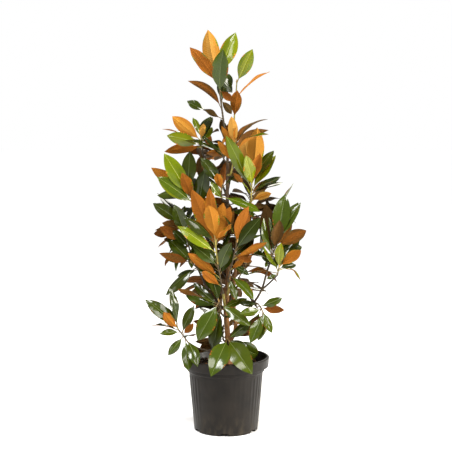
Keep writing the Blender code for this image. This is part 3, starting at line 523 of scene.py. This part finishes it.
# The pot's ribs in groups of (middle in degrees, strength), its roundings, the compost's top
RIB_GROUPS = ((-65, 1.0), (59, 1.0), (22, 0.25), (123, 1.0), (-126, 1.0), (180, 1.0))
RIB_GROUP_HALF = 21.0
RIB_PITCH = 8.0
RIB_DEPTH = 0.0018
RIBS_FROM = 0.03
RIBS_TO = COLLAR_FOOT - 0.006
RIBS_SAG = 0.000012  # of their upper ends, by the square of the degrees from the middle
RIB_START = 0.004
RIB_RUNOUT = 0.12
LIP = 0.006
FOOT_ROUND, COLLAR_ROUND, RIM_FILLET, RIM_ROUND, LIP_ROUND = 0.004, 0.003, 0.002, 0.0045, 0.0025
SEAM = 0.0006  # between compost and pot
LUMPS = ((0.0035, 28), (0.0028, 95), (0.0016, 260))  # height and noise scale
MOUND = 0.004
EDGE_SAG = 0.004
CRUMBS = 420
CRUMBS_CLEAR = 0.03  # of the trunk's middle
CRUMB_SIZE = (0.0014, 0.0042)
CRUMB_SHAPE = ((-1, 0.15), (-0.6, 0.8), (0, 1.0), (0.6, 0.75), (1, 0.15))


def linear(colour):
    """Scene-linear values of an eight-bit colour."""
    shares = [value / 255 for value in colour]
    return tuple(share / 12.92 if share <= 0.04045 else ((share + 0.055) / 1.055) ** 2.4
                 for share in shares)


class Graph:
    """A Principled material, and short calls that add nodes to it."""

    def __init__(self, name, colour, **plain):
        self.material = bpy.data.materials.new(name)
        self.material.use_nodes = True
        self.tree = self.material.node_tree
        self.shader = self.tree.nodes["Principled BSDF"]
        self.shader.inputs["Base Color"].default_value = (*linear(colour), 1)
        for socket, value in plain.items():
            self.shader.inputs[socket.replace("_", " ")].default_value = value

    def node(self, kind, inputs=(), **settings):
        made = self.tree.nodes.new("ShaderNode" + kind)
        for setting, value in settings.items():
            setattr(made, setting, value)
        for socket, value in dict(inputs).items():
            if isinstance(value, bpy.types.NodeSocket):
                self.tree.links.new(value, made.inputs[socket])
            else:
                made.inputs[socket].default_value = value
        return made

    def math(self, operation, a, b):
        return self.node("Math", {0: a, 1: b}, operation=operation).outputs[0]

    def height(self):
        place = self.node("TexCoord").outputs["Object"]
        return self.node("SeparateXYZ", {0: place}).outputs[2]

    def tint(self, share, base, colour):
        inputs = {0: share, 6: base, 7: (*linear(colour), 1)}
        return self.node("Mix", inputs, data_type="RGBA").outputs[2]

    def noise(self, scale, detail=3.0, stretch=(1, 1, 1)):
        place = self.node("TexCoord").outputs["Object"]
        if stretch != (1, 1, 1):
            place = self.node("Mapping", {"Vector": place, "Scale": stretch}).outputs[0]
        return self.node("TexNoise", {"Vector": place, "Scale": scale, "Detail": detail}).outputs[0]

    def spread(self, value, low, high, start=0.3, end=0.7):
        return self.node("MapRange", {0: value, 1: start, 2: end, 3: low, 4: high}).outputs[0]

    def ramp(self, value, *stops):
        """A blend between two stops of (place, colour)."""
        made = self.node("ValToRGB", {0: value})
        for element, (place, colour) in zip(made.color_ramp.elements, stops):
            element.position = place
            element.color = (*linear(colour), 1)
        return made.outputs[0]

    def set(self, socket, value):
        self.tree.links.new(value, self.shader.inputs[socket])

    def roughen(self, value, low, high, *between):
        self.set("Roughness", self.spread(value, low, high, *between))

    def bump(self, *layers):
        """Layers are (height, distance in metres, strength), from coarse to fine."""
        below = {}
        for height, distance, strength in layers:
            inputs = {"Height": height, "Distance": distance, "Strength": strength, **below}
            below = {"Normal": self.node("Bump", inputs).outputs[0]}
        self.set("Normal", below["Normal"])


def vein_height(graph):
    """Side veins from the leaf's own coordinates: 1 on a vein, falling to 0 between two."""
    place = graph.node("UVMap", uv_map="veins").outputs[0]
    along = graph.node("SeparateXYZ", {0: place}).outputs[0]
    return graph.spread(graph.math("PINGPONG", along, 0.5), 1.0, 0.0, 0.0, 0.22)


def upper_material(name, colour, age):
    graph = Graph(name, colour, Coat_Weight=0.75, Coat_Roughness=0.15, Specular_IOR_Level=0.0)
    graph.roughen(graph.noise(70), 0.30 + 0.02 * age, 0.44)
    graph.bump((graph.noise(52, 1.5), 0.004, 0.34), (vein_height(graph), -0.0004, 0.4),
               (graph.noise(700), 0.0001, 0.15))
    return graph.material


def under_material(name, colour):
    graph = Graph(name, colour, Sheen_Weight=0.06, Sheen_Roughness=0.5, Specular_IOR_Level=0.1)
    graph.shader.inputs["Sheen Tint"].default_value = (1.0, 0.72, 0.4, 1)
    graph.roughen(graph.noise(120), 0.62, 0.85)
    graph.bump((graph.noise(45, 2.0), 0.004, 0.3), (vein_height(graph), 0.0009, 0.6),
               (graph.noise(1400), 0.0003, 0.25))
    return graph.material


def rib_material(name, colour, roughness=0.5):
    graph = Graph(name, colour)
    graph.roughen(graph.noise(300), roughness - 0.1, roughness + 0.1)
    graph.bump((graph.noise(900), 0.0002, 0.4))
    return graph.material


def bark_material(name, light, dark, stain, roughness=0.8):
    """Bark with streaks along the stem, short raised pores across it, and painted shade that darkens
    it higher up.
    """
    graph = Graph(name, light)
    streaks = graph.noise(28, 5.0, (6, 6, 1))
    blotches = graph.noise(40, 4.0)
    base = graph.ramp(streaks, (0.34, dark), (0.62, light))
    # Painted shade: darker towards the top, where the stems stand in the crown's shade
    base = graph.tint(graph.spread(graph.height(), 0.0, 0.85, *BARK_SHADE_HEIGHTS), base, CROWN_SHADE_BARK)
    graph.set("Base Color", graph.tint(graph.spread(blotches, 0.0, 0.7, 0.48, 0.7), base, stain))
    graph.roughen(blotches, roughness - 0.12, roughness + 0.1)
    pores = graph.noise(420, 2.0, (1, 1, 3))
    graph.bump((streaks, 0.0015, 0.5), (graph.spread(pores, 0, 1, 0.62, 0.7), 0.0005, 0.6),
               (graph.noise(900), 0.0003, 0.4))
    return graph.material


def pot_material():
    """Moulded black plastic, a little cloudy, with dried splashes low down."""
    graph = Graph("pot_plastic", (26, 22, 18), Specular_IOR_Level=0.2)
    cloud = graph.noise(14, 5.0)
    scuff = graph.noise(60, 6.0, (1, 1, 0.35))
    base = graph.ramp(cloud, (0.35, (20, 16, 12)), (0.65, (30, 25, 20)))
    low = graph.spread(graph.height(), 0.35, 0.0, 0.0, 0.10)
    dusty = graph.math("MULTIPLY", low, graph.spread(scuff, 0, 1, 0.45, 0.75))
    graph.set("Base Color", graph.tint(dusty, base, DRIED_SPLASH))
    graph.roughen(scuff, 0.36, 0.54, 0.3, 0.7)
    graph.bump((graph.noise(26, 2.0), 0.004, 0.14), (graph.noise(900), 0.0003, 0.35))
    return graph.material


def compost_material(name, dark, light):
    graph = Graph(name, dark, Specular_IOR_Level=0.2)
    grain = graph.noise(160, 6.0)
    graph.set("Base Color", graph.ramp(grain, (0.38, dark), (0.68, light)))
    graph.roughen(grain, 0.85, 1.0)
    graph.bump((grain, 0.003, 0.8), (graph.noise(700), 0.0008, 0.6))
    return graph.material


def linked(name, data):
    """A new object in the scene."""
    made = bpy.data.objects.new(name, data)
    bpy.context.scene.collection.objects.link(made)
    return made


def circle(sides):
    return np.linspace(0, 2 * math.pi, sides, endpoint=False)


class Gather:
    """Quads from many grids, to be one mesh."""

    def __init__(self):
        self.places, self.quads, self.slots, self.veins = [], [], [], []
        self.count = 0

    def add(self, places, quads, slots, veins, flip):
        self.places.append(places.reshape(-1, 3))
        self.quads.append((quads[..., ::-1] if flip else quads).reshape(-1, 4))
        self.slots.append(np.broadcast_to(slots, quads.shape[:-1]).reshape(-1))
        self.veins.append(np.broadcast_to(veins, (*places.shape[:-1], 2)).reshape(-1, 2))
        self.count += len(self.places[-1])

    def grid(self, places, slots, veins=0.0, flip=False, wrap=False):
        """A sheet of rows and columns of places, with a slot for each column of quads."""
        rows, columns = places.shape[:2]
        index = np.arange(rows * columns).reshape(rows, columns) + self.count
        if wrap:
            index = np.concatenate([index, index[:, :1]], axis=1)
        quads = np.stack([index[:-1, :-1], index[:-1, 1:], index[1:, 1:], index[1:, :-1]], axis=-1)
        self.add(places, quads, slots, veins, flip)

    def cap(self, ring, flip=False):
        """A fan of quads over a ring of places, for an even count."""
        sides = len(ring)
        centre = self.count + sides
        quads = np.array([[centre, *(self.count + (step + turn) % sides for turn in range(3))]
                          for step in range(0, sides, 2)])
        self.add(np.vstack([ring, ring.mean(axis=0)]), quads, 0, 0.0, flip)

    def piece(self, name, materials, sharp=None):
        """The gathered quads as one object that rides on the plant's body."""
        quads = np.concatenate(self.quads).astype(np.int32)
        mesh = bpy.data.meshes.new(name)
        mesh.vertices.add(self.count)
        mesh.vertices.foreach_set("co", np.concatenate(self.places).astype(np.float32).ravel())
        mesh.loops.add(quads.size)
        mesh.loops.foreach_set("vertex_index", quads.ravel())
        mesh.polygons.add(len(quads))
        mesh.polygons.foreach_set("loop_start", np.arange(len(quads), dtype=np.int32) * 4)
        for item in materials:
            mesh.materials.append(item)
        mesh.polygons.foreach_set("material_index", np.concatenate(self.slots).astype(np.int32))
        mesh.update(calc_edges=True)
        veins = np.concatenate(self.veins)[quads.ravel()]
        mesh.uv_layers.new(name="veins").data.foreach_set("uv", veins.astype(np.float32).ravel())
        mesh.shade_smooth()
        if sharp is not None:
            mesh.set_sharp_from_angle(angle=sharp)
        made = linked(name, mesh)
        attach(made, "root")
        return made


def rings(path, radii, sides):
    """Rings of places round a path, with no turn between one and the next."""
    path = [Vector(place) for place in path]
    side = None
    made = np.zeros((len(path), sides, 3))
    turns = circle(sides)
    for row, (place, radius) in enumerate(zip(path, radii)):
        along = (path[min(row + 1, len(path) - 1)] - path[max(row - 1, 0)]).normalized()
        if side is None:
            side = along.cross(Vector((0.1, 1, 0.05)))
        side = (side - along * side.dot(along)).normalized()
        outward = spun(turns, side, along.cross(side))
        made[row] = np.array(place) + outward * (radius if np.isscalar(radius) else radius[:, None])
    return made


ROWS = np.array([[row.x, max(row.y, 0.02)] for row in smooth_path(
    [Vector((*point, 0)) for point in BLADE_PROFILE], 2)])


def blade_lift(alongs, shares, across, half, age, draw, own):
    """How far a blade stands off its midrib's plane: fold, curl, wavy margins and quilting."""
    edge = shares ** 2
    phases = [draw.uniform(0, 6.28) for _ in range(3)]
    count = draw.uniform(*WAVES)
    left = shares < 0
    wave = np.sin(2 * math.pi * count * np.where(left, 1, 1.1) * alongs[:, None]
                  + np.where(left, phases[0], phases[1]))
    wave = wave * draw.uniform(*WAVE_HEIGHT) * (1 if age < 2 else OLD_WAVE)
    wave = wave * (half / half.max())[:, None] * edge
    fold = draw.uniform(*FOLD) * (-1 if draw.random() < BACKWARD_FOLDS else 1)
    curl = draw.uniform(*CURL)
    quilt = draw.uniform(*QUILTS) * alongs[:, None] - 0.6 * abs(shares)
    quilt = np.sin(2 * math.pi * quilt + phases[2]) * draw.uniform(*QUILT_HEIGHT)
    quilt = quilt * np.minimum(1, 3 * abs(shares)) * (1 - edge)
    lift = own * (fold * abs(across) - curl * edge * half[:, None] + wave + quilt)
    return lift + (1 - own) * LEAF_FOLD * abs(across)


def add_leaf(gather, leaf, age, draw, own):
    """One leaf: glossy upper side, felted under side, midrib and stalk.

    It has a share of its own shape. The points of its blade from CLEAR_FROM on come back.
    """
    kind = draw.randrange(KINDS)
    alongs = BLADE_START + (1 - BLADE_START) * ROWS[:, 0]
    places, sides, ups, length = leaf_lines(leaf, alongs, draw, own)
    half = ROWS[:, 1] * leaf.half
    rib = np.minimum(MIDRIB_HALF * (1.15 - 0.8 * ROWS[:, 0]), half * 0.3)
    columns = len(BLADE_COLUMNS)
    shares = np.array([-share for share in BLADE_COLUMNS[::-1]] + [0.0, *BLADE_COLUMNS])
    signs = np.repeat([-1, 0, 1], [columns, 1, columns])
    across = signs * rib[:, None] + shares * (half - rib)[:, None]
    lift = blade_lift(alongs, shares, across, half, age, draw, own)
    thick = BLADE_THICKNESS / 2 * (1 - shares ** 2)
    middle = signs == 0
    phase = (alongs * length)[:, None] - VEIN_SLANT * abs(across)
    veins = np.stack([phase / VEIN_SPACING, abs(across) / half[:, None]], axis=-1)
    upper_slots = np.full(len(shares) - 1, age * KINDS + kind)
    under_slots = upper_slots + UNDER_SLOT
    upper_slots[columns - 1:columns + 1] = RIB_SLOT + age
    if draw.random() < TWO_TONED:
        margin = [0, -1] if draw.random() < 0.5 else [0, 1, -2, -1]
        upper_slots[margin] = age * KINDS + (kind + 1) % KINDS
        under_slots[margin] = upper_slots[margin] + UNDER_SLOT

    def sheet(height):
        return (places[:, None] + sides[:, None] * across[..., None]
                + ups[:, None] * height[..., None])

    top = lift + thick - middle * MIDRIB_GROOVE
    bottom = lift - thick - middle * (MIDRIB_RIDGE * (1.1 - ROWS[:, 0]))[:, None]
    gather.grid(sheet(top), upper_slots, veins, flip=True)
    gather.grid(sheet(bottom), under_slots, veins)
    stalk = np.linspace(0.0, BLADE_START + 0.03, len(PETIOLE_SHAPE))
    stalk_places = leaf_lines(leaf, stalk, random.Random(0))[0]
    blade_foot = places[0] - stalk_places[-2]
    stalk_places = stalk_places + np.outer(stalk / BLADE_START, blade_foot) * 0.5
    radii = PETIOLE_HALF * np.array(PETIOLE_SHAPE)
    gather.grid(rings(stalk_places, radii, PETIOLE_SIDES), STALK_SLOT + (age > 1), wrap=True)
    return sheet(lift)[alongs > CLEAR_FROM]


def blade_tree(points):
    """A blade's rows and columns of points as quads, to be tested against others."""
    rows, columns = points.shape[:2]
    faces = [(a, a + 1, a + columns + 1, a + columns) for row in range(rows - 1)
             for a in range(row * columns, (row + 1) * columns - 1)]
    return BVHTree.FromPolygons(points.reshape(-1, 3).tolist(), faces)


def own_shares(leaves):
    """How much of its own shape each leaf keeps, so that blades don't cut each other."""
    own = [1.0] * len(leaves)
    trees = [None] * len(leaves)
    crossing = set(range(len(leaves)))
    for step in range(CALM_ROUNDS):
        for index in crossing:
            leaf, age, _, key = leaves[index]
            own[index] *= CALM_STEP if step else 1.0
            points = add_leaf(Gather(), leaf, age, random.Random(key), own[index])
            trees[index] = blade_tree(points)
        pairs = [(a, b) for a, b in combinations(range(len(leaves)), 2)
                 if trees[a].overlap(trees[b])]
        crossing = {index for pair in pairs for index in pair}
    return own


def leaf_materials():
    """Upper sides, under sides, midribs and stalks, in the order of their slots."""
    made = [upper_material(f"leaf_upper_{age}_{kind}", colour, age)
            for age, colours in enumerate(UPPER_COLOURS) for kind, colour in enumerate(colours)]
    made += [under_material(f"leaf_under_{age}_{kind}", colour)
             for age, colours in enumerate(UNDER_COLOURS) for kind, colour in enumerate(colours)]
    made += [rib_material(f"midrib_{age}", colour, 0.4)
             for age, colour in enumerate(MIDRIB_COLOURS)]
    return made + [rib_material("stalk_young", (150, 138, 60)),
                   rib_material("stalk_old", (104, 82, 40))]


def add_twig(gather, path, foot_radius, young, draw):
    """A shoot with a slightly uneven girth and a furred bud on its end."""
    fine = []
    for a, b in zip(path, path[1:]):
        steps = max(2, int((b - a).length / TWIG_STEP))
        fine += [a.lerp(b, step / steps) for step in range(steps)]
    fine.append(path[-1])
    end_radius = TWIG_RADIUS * TWIG_END
    radii = []
    for index, place in enumerate(fine):
        share = index / (len(fine) - 1)
        radius = foot_radius + (end_radius - foot_radius) * share
        radii.append(radius * (1 + 0.09 * math.sin(index * 1.3) + 0.05 * noise.noise(place * 300)))
    gather.grid(rings(fine, radii, TWIG_SIDES), 0 if young else 1, wrap=True)
    along = (path[-1] - path[-2]).normalized()
    bud = [path[-1] + along * BUD_LENGTH * share for share, _ in BUD_SHAPE]
    bud_radii = [end_radius * width * draw.uniform(0.95, 1.05) for _, width in BUD_SHAPE]
    gather.grid(rings(bud, bud_radii, TWIG_SIDES), 2, wrap=True)


def limb_mesh(name, limb, material):
    """A limb with its bark's relief, ring scars and, on the trunk, a lobed foot."""
    coarse = limb_path(limb)
    total = sum((b - a).length for a, b in zip(coarse, coarse[1:]))
    turns = circle(28 if limb.foot_radius > THICK_LIMB else 16)
    path = smooth_path(coarse, max(2, int(total / (len(coarse) - 1) / BARK_STEP)))
    radii = []
    travelled = 0.0
    draw = random.Random(name)
    scars = [draw.uniform(0.012, 0.03)]
    while scars[-1] < total:
        scars.append(scars[-1] + draw.uniform(*SCAR_GAP))
    for index, place in enumerate(path):
        if index:
            travelled += (place - path[index - 1]).length
        radius = limb.foot_radius + (limb.tip_radius - limb.foot_radius) * travelled / total
        lobes = 0.0
        if limb.parent == "compost":
            if travelled < FLARE_HEIGHT:
                share = math.sqrt(travelled / FLARE_HEIGHT)
                radius *= FLARE + (1 - FLARE) * share
                lobes = LOBE_DEPTH * (1 - share)
        elif travelled < COLLAR_LENGTH:
            radius *= 1 + COLLAR_SWELL * (1 - travelled / COLLAR_LENGTH) ** 2
        nearest = min(abs(travelled - scar) for scar in scars)
        ring = SCAR_RISE * math.exp(-(nearest / SCAR_WIDTH) ** 2)
        relief = np.array([noise.noise(Vector((*polar(2.2, turn), travelled * 38)))
                           for turn in turns])
        lobed = lobes * np.cos(LOBES * turns + 0.6)
        radii.append(radius * (1 + BARK_RELIEF * relief + ring + lobed))
    if limb.parent == "compost":
        under = sum(place.z <= SOIL_TOP - 0.006 for place in path)
        path, radii = path[under:], radii[under:]
    gather = Gather()
    around = rings(path, radii, len(turns))
    gather.grid(around, 0, wrap=True)
    gather.cap(around[-1])
    gather.cap(around[0], flip=True)
    made = gather.piece(name + "_bark", [material])
    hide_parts(name)
    return made


def make_limbs():
    tan = bark_material("tan_bark", (152, 104, 52), (98, 62, 28), (124, 100, 62))
    grey = bark_material("grey_bark", (70, 56, 38), (34, 26, 18), (84, 72, 48), 0.75)
    green = bark_material("green_stem", (160, 148, 72), (120, 106, 44), (136, 112, 56), 0.55)
    finish = {"trunk": (tan, "trunk_bark"), "right_stem": (tan, "trunk_bark"),
              "front_stem": (green, "green_stem"), "mid_right_bough": (green, "green_stem")}
    for name, limb in LIMBS.items():
        material, slot = finish.get(name, (grey, "stem_bark"))
        limb_mesh(name, limb, material)


def part_of(name):
    return "rear" if name.startswith("rear") else "front"


def make_foliage():
    """Leaves of the front and of the rear, and all twigs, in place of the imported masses."""
    leaves = {"front": Gather(), "rear": Gather()}
    stands_for = {"front": [], "rear": []}
    twigs = Gather()
    grown = [each for name, mass in MASSES.items() for each in grown_leaves(name, mass)]
    ages = {}
    for (leaf, age, twig, key), own in zip(grown, own_shares(grown)):
        add_leaf(leaves[part_of(key)], leaf, age, random.Random(key), own)
        ages.setdefault(twig, []).append(age)
    for name, mass in MASSES.items():
        stands_for[part_of(name)].append(name)
        for place, path in enumerate(twig_paths(mass, 8)):
            twig = f"{name} {place}"
            foot = TWIG_RADIUS if place else min(LIMBS[mass.limb].tip_radius, STEM_RADIUS)
            its_ages = ages.get(twig, [2])
            young = sum(its_ages) / len(its_ages) < YOUNG_TWIG
            add_twig(twigs, path, foot, young, random.Random(f"{twig} twig"))
    materials = leaf_materials()
    for side, gather in leaves.items():
        made = gather.piece("leaves_" + side, materials)
        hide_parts(*stands_for[side])
    wood = [rib_material("twig_young", (140, 128, 56)), rib_material("twig_old", (70, 58, 38), 0.7),
            rib_material("bud_fur", (150, 116, 62), 0.85)]
    made = twigs.piece("twigs", wood)


def wall_radius(height):
    return BASE_RADIUS + (BODY_TOP_RADIUS - BASE_RADIUS) * height / COLLAR_FOOT


def rib_relief(turn, height):
    """How far the pot's wall stands out in its groups of upright ribs."""
    if not RIBS_FROM < height < COLLAR_FOOT:
        return 0.0
    degrees = math.degrees(turn + math.pi / 2)
    depth = 0.0
    for centre, strength in RIB_GROUPS:
        off = (degrees - centre + 180) % 360 - 180
        if abs(off) < RIB_GROUP_HALF:
            fade = math.cos(off / RIB_GROUP_HALF * math.pi / 2) ** 0.4
            shoulder = RIBS_TO - RIBS_SAG * off ** 2
            if height < shoulder:
                start = min(1.0, (shoulder - height) / RIB_START)
                foot = min(1.0, max(0.0, (height - RIBS_FROM) / RIB_RUNOUT))
                depth += strength * RIB_DEPTH * fade * start * foot * (
                    0.5 + 0.5 * math.cos(2 * math.pi * off / RIB_PITCH))
    return depth


def level_ring(reach, turns, height):
    """Places at a height, at a reach in each direction."""
    return np.stack([reach * np.cos(turns), reach * np.sin(turns), np.full_like(turns, height)], -1)


def arc(centre, radius, start, end, steps):
    """Places on an arc in the profile's plane, from one angle in degrees to another."""
    turns = [math.radians(start + (end - start) * step / steps) for step in range(steps + 1)]
    return [(centre[0] + x, centre[1] + y) for x, y in (polar(radius, turn) for turn in turns)]


def line(a, b, steps):
    return [(a[0] + (b[0] - a[0]) * step / steps, a[1] + (b[1] - a[1]) * step / steps)
            for step in range(steps + 1)]


def cut_notches(pot):
    """Blind notches in the foot of the pot's wall."""
    body = bmesh.new()
    body.from_mesh(pot.data)
    bmesh.ops.remove_doubles(body, verts=body.verts, dist=1e-6)
    body.to_mesh(pot.data)
    body.clear()
    overlap = 0.002
    middle = (NOTCH_HEIGHT - overlap) / 2
    for index in range(NOTCHES):
        angle = NOTCH_TURN - math.pi / 2 + index * 2 * math.pi / NOTCHES
        place = (*polar(BASE_RADIUS, angle), middle)
        bmesh.ops.create_cone(
            body, cap_ends=True, segments=4, radius1=NOTCH_WIDTH / math.sqrt(2),
            radius2=NOTCH_TOP_WIDTH / math.sqrt(2), depth=NOTCH_HEIGHT + overlap,
            matrix=Matrix.Translation(place) @ Matrix.Rotation(angle + math.radians(45), 4, "Z"))
    mesh = bpy.data.meshes.new("notches")
    body.to_mesh(mesh)
    body.free()
    cutter = linked("notches", mesh)
    cut = pot.modifiers.new("notches", "BOOLEAN")
    cut.solver = "MANIFOLD"
    cut.object = cutter
    bpy.context.view_layer.update()
    evaluated = pot.evaluated_get(bpy.context.evaluated_depsgraph_get())
    pot.data = bpy.data.meshes.new_from_object(evaluated)
    pot.modifiers.clear()
    bpy.data.objects.remove(cutter)


def pot_profile():
    """(radius, height) up the outside of the pot, over its rim and down the inside."""
    inside = RIM_RADIUS - WALL
    collar = COLLAR_RADIUS - WALL
    return [
        *line((0.0005, 0.0), (BASE_RADIUS - FOOT_ROUND, 0.0), 6),
        *arc((BASE_RADIUS - FOOT_ROUND, FOOT_ROUND), FOOT_ROUND, -90, 0, 4)[1:],
        *line((wall_radius(0.008), 0.008), (BODY_TOP_RADIUS, COLLAR_FOOT), 60),
        *arc((COLLAR_RADIUS - COLLAR_ROUND, COLLAR_FOOT + LIP), COLLAR_ROUND, -40, 0, 3),
        *line((COLLAR_RADIUS, COLLAR_FOOT + LIP + 0.001), (COLLAR_RADIUS, RIM_FOOT - RIM_FILLET), 5),
        *arc((COLLAR_RADIUS + RIM_FILLET, RIM_FOOT - RIM_FILLET), RIM_FILLET, 180, 90, 3),
        *line((COLLAR_RADIUS + 0.003, RIM_FOOT), (inside - 0.0015, RIM_FOOT), 3),
        *arc((inside - 0.0012, RIM_FOOT + 0.0015), 0.0015, -90, 0, 3),
        *line((inside + 0.0006, RIM_FOOT + 0.004), (RIM_RADIUS - 0.0003, POT_HEIGHT - LIP), 8),
        *arc((RIM_RADIUS - RIM_ROUND, POT_HEIGHT - RIM_ROUND), RIM_ROUND, 0, 90, 7),
        *arc((RIM_RADIUS - 0.0075, POT_HEIGHT - LIP_ROUND), LIP_ROUND, 90, 180, 4),
        *line((RIM_RADIUS - 0.0101, POT_HEIGHT - 0.004), (collar, RIM_FOOT), 8),
        *line((collar, RIM_FOOT - 0.001), (collar, COLLAR_FOOT + LIP), 3),
        *line((BODY_TOP_RADIUS - WALL, COLLAR_FOOT), (wall_radius(FLOOR) - WALL, FLOOR), 8),
        *line((wall_radius(FLOOR) - WALL - 0.001, FLOOR), (0.0005, FLOOR), 6),
    ]


def make_pot():
    body = Gather()
    turns = circle(360)
    places = []
    for radius, height in pot_profile():
        reach = np.full(len(turns), radius)
        if radius > wall_radius(height) - WALL / 2 and height < COLLAR_FOOT:
            reach = reach + np.array([rib_relief(turn, height) for turn in turns])
        places.append(level_ring(reach, turns, height))
    body.grid(np.array(places), 0, wrap=True)
    body.cap(places[0], flip=True)
    body.cap(places[-1])
    pot = body.piece("pot_moulded", [pot_material()], sharp=math.radians(35))
    cut_notches(pot)
    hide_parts("pot")


def make_compost():
    """Compost with a crumbly top that rises a little round the trunk."""
    gather = Gather()
    foot = seen(LIMBS["trunk"].path[0])
    inner = COLLAR_RADIUS - WALL - SEAM
    sides, count = 160, 56
    turns = circle(sides)
    places = np.zeros((count + 2, sides, 3))
    for row in range(count):
        radius = 0.001 + (inner - 0.001) * row / (count - 1)
        for column, turn in enumerate(turns):
            x, y = polar(radius, turn)
            place = Vector((x, y, 0.3))
            rise = sum(height * noise.noise(place * scale) for height, scale in LUMPS)
            rise += MOUND * math.exp(-((x - foot.x) ** 2 + (y - foot.y) ** 2) / 0.0006)
            rise -= EDGE_SAG * (radius / inner) ** 6
            places[row, column] = (x, y, SOIL_TOP + rise)
    for row, height in ((count, COLLAR_FOOT), (count + 1, FLOOR + SEAM)):
        places[row] = level_ring(wall_radius(height) - WALL - SEAM, turns, height)
    gather.grid(places, 0, wrap=True, flip=True)
    gather.cap(places[-1])
    soil = compost_material("compost", (34, 26, 20), (66, 50, 36))
    made = gather.piece("compost_surface", [soil])
    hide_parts("compost")
    scatter_crumbs(inner, foot)


def scatter_crumbs(inner, foot):
    """Loose crumbs and bits of bark on the compost, clear of the trunk."""
    bits = Gather()
    draw = random.Random("crumbs")
    for _ in range(CRUMBS):
        radius = inner * 0.94 * math.sqrt(draw.random())
        x, y = polar(radius, draw.uniform(0, 2 * math.pi))
        if math.hypot(x - foot.x, y - foot.y) < CRUMBS_CLEAR:
            continue
        size = draw.uniform(*CRUMB_SIZE)
        long = draw.uniform(1.0, 2.4)
        heading = draw.uniform(0, 2 * math.pi)
        along = Vector((*polar(1, heading), draw.uniform(-0.3, 0.3))) * size * long
        centre = Vector((x, y, SOIL_TOP + size * 0.4))
        crumb = rings([centre + along * share for share, _ in CRUMB_SHAPE],
                      [size * width * draw.uniform(0.8, 1.2) for _, width in CRUMB_SHAPE], 6)
        bits.grid(crumb, int(draw.random() < 0.4), wrap=True)
    crumbs = bits.piece("compost_crumbs", [
        compost_material("crumb_dark", (30, 22, 16), (58, 42, 28)),
        compost_material("crumb_bark", (74, 50, 30), (112, 80, 50))])


def make_world():
    """White to the eye, and a weaker white to what it lights."""
    world = bpy.data.worlds.new("studio")
    world.use_nodes = True
    tree = world.node_tree
    back = tree.nodes["Background"]
    back.inputs["Color"].default_value = (1, 1, 1, 1)
    path = tree.nodes.new("ShaderNodeLightPath")
    level = tree.nodes.new("ShaderNodeMapRange")
    level.inputs["To Min"].default_value = 0.2
    tree.links.new(path.outputs["Is Camera Ray"], level.inputs["Value"])
    tree.links.new(level.outputs[0], back.inputs["Strength"])
    bpy.context.scene.world = world
    bpy.context.scene.view_settings.view_transform = "Standard"


def make_stage():
    make_world()
    bpy.ops.mesh.primitive_plane_add(size=80)
    floor = bpy.context.object
    floor.name = "studio_floor"
    paint = Graph("studio_floor", (252, 252, 252), Roughness=1.0, Specular_IOR_Level=0.0)
    floor.data.materials.append(paint.material)
    lamps = (("key", "SUN", (-1.2, -2.4, 5.4), math.radians(20), 3.1),
             ("left", "AREA", (-2.8, -1.2, 1.9), 1.2, 14),
             ("right", "AREA", (2.8, -0.9, 1.3), 1.2, 140),
             ("front", "AREA", (1.2, -3.6, 3.6), 1.5, 90),
             ("back", "AREA", (0.6, 3.0, 2.8), 1.6, 70))
    for name, kind, place, size, power in lamps:
        light = bpy.data.lights.new(name, kind)
        light.energy = power
        if kind == "SUN":
            light.angle = size
        else:
            light.size = size
            light.color = (1, 0.96, 0.88)
        lamp = linked(name, light)
        lamp.location = place
        aim = Vector((0, 0, 0.75)) - Vector(place)
        lamp.rotation_euler = aim.to_track_quat("-Z", "Y").to_euler()


def make_camera():
    data = bpy.data.cameras.new("camera")
    data.sensor_width = 36
    data.lens = LENS_MM
    camera = linked("camera", data)
    camera.location = (0, -EYE_DISTANCE, EYE_HEIGHT)
    camera.rotation_euler = (math.pi / 2 - EYE_PITCH, 0, 0)
    bpy.context.scene.camera = camera


make_limbs()
make_foliage()
make_pot()
make_compost()
make_stage()
make_camera()
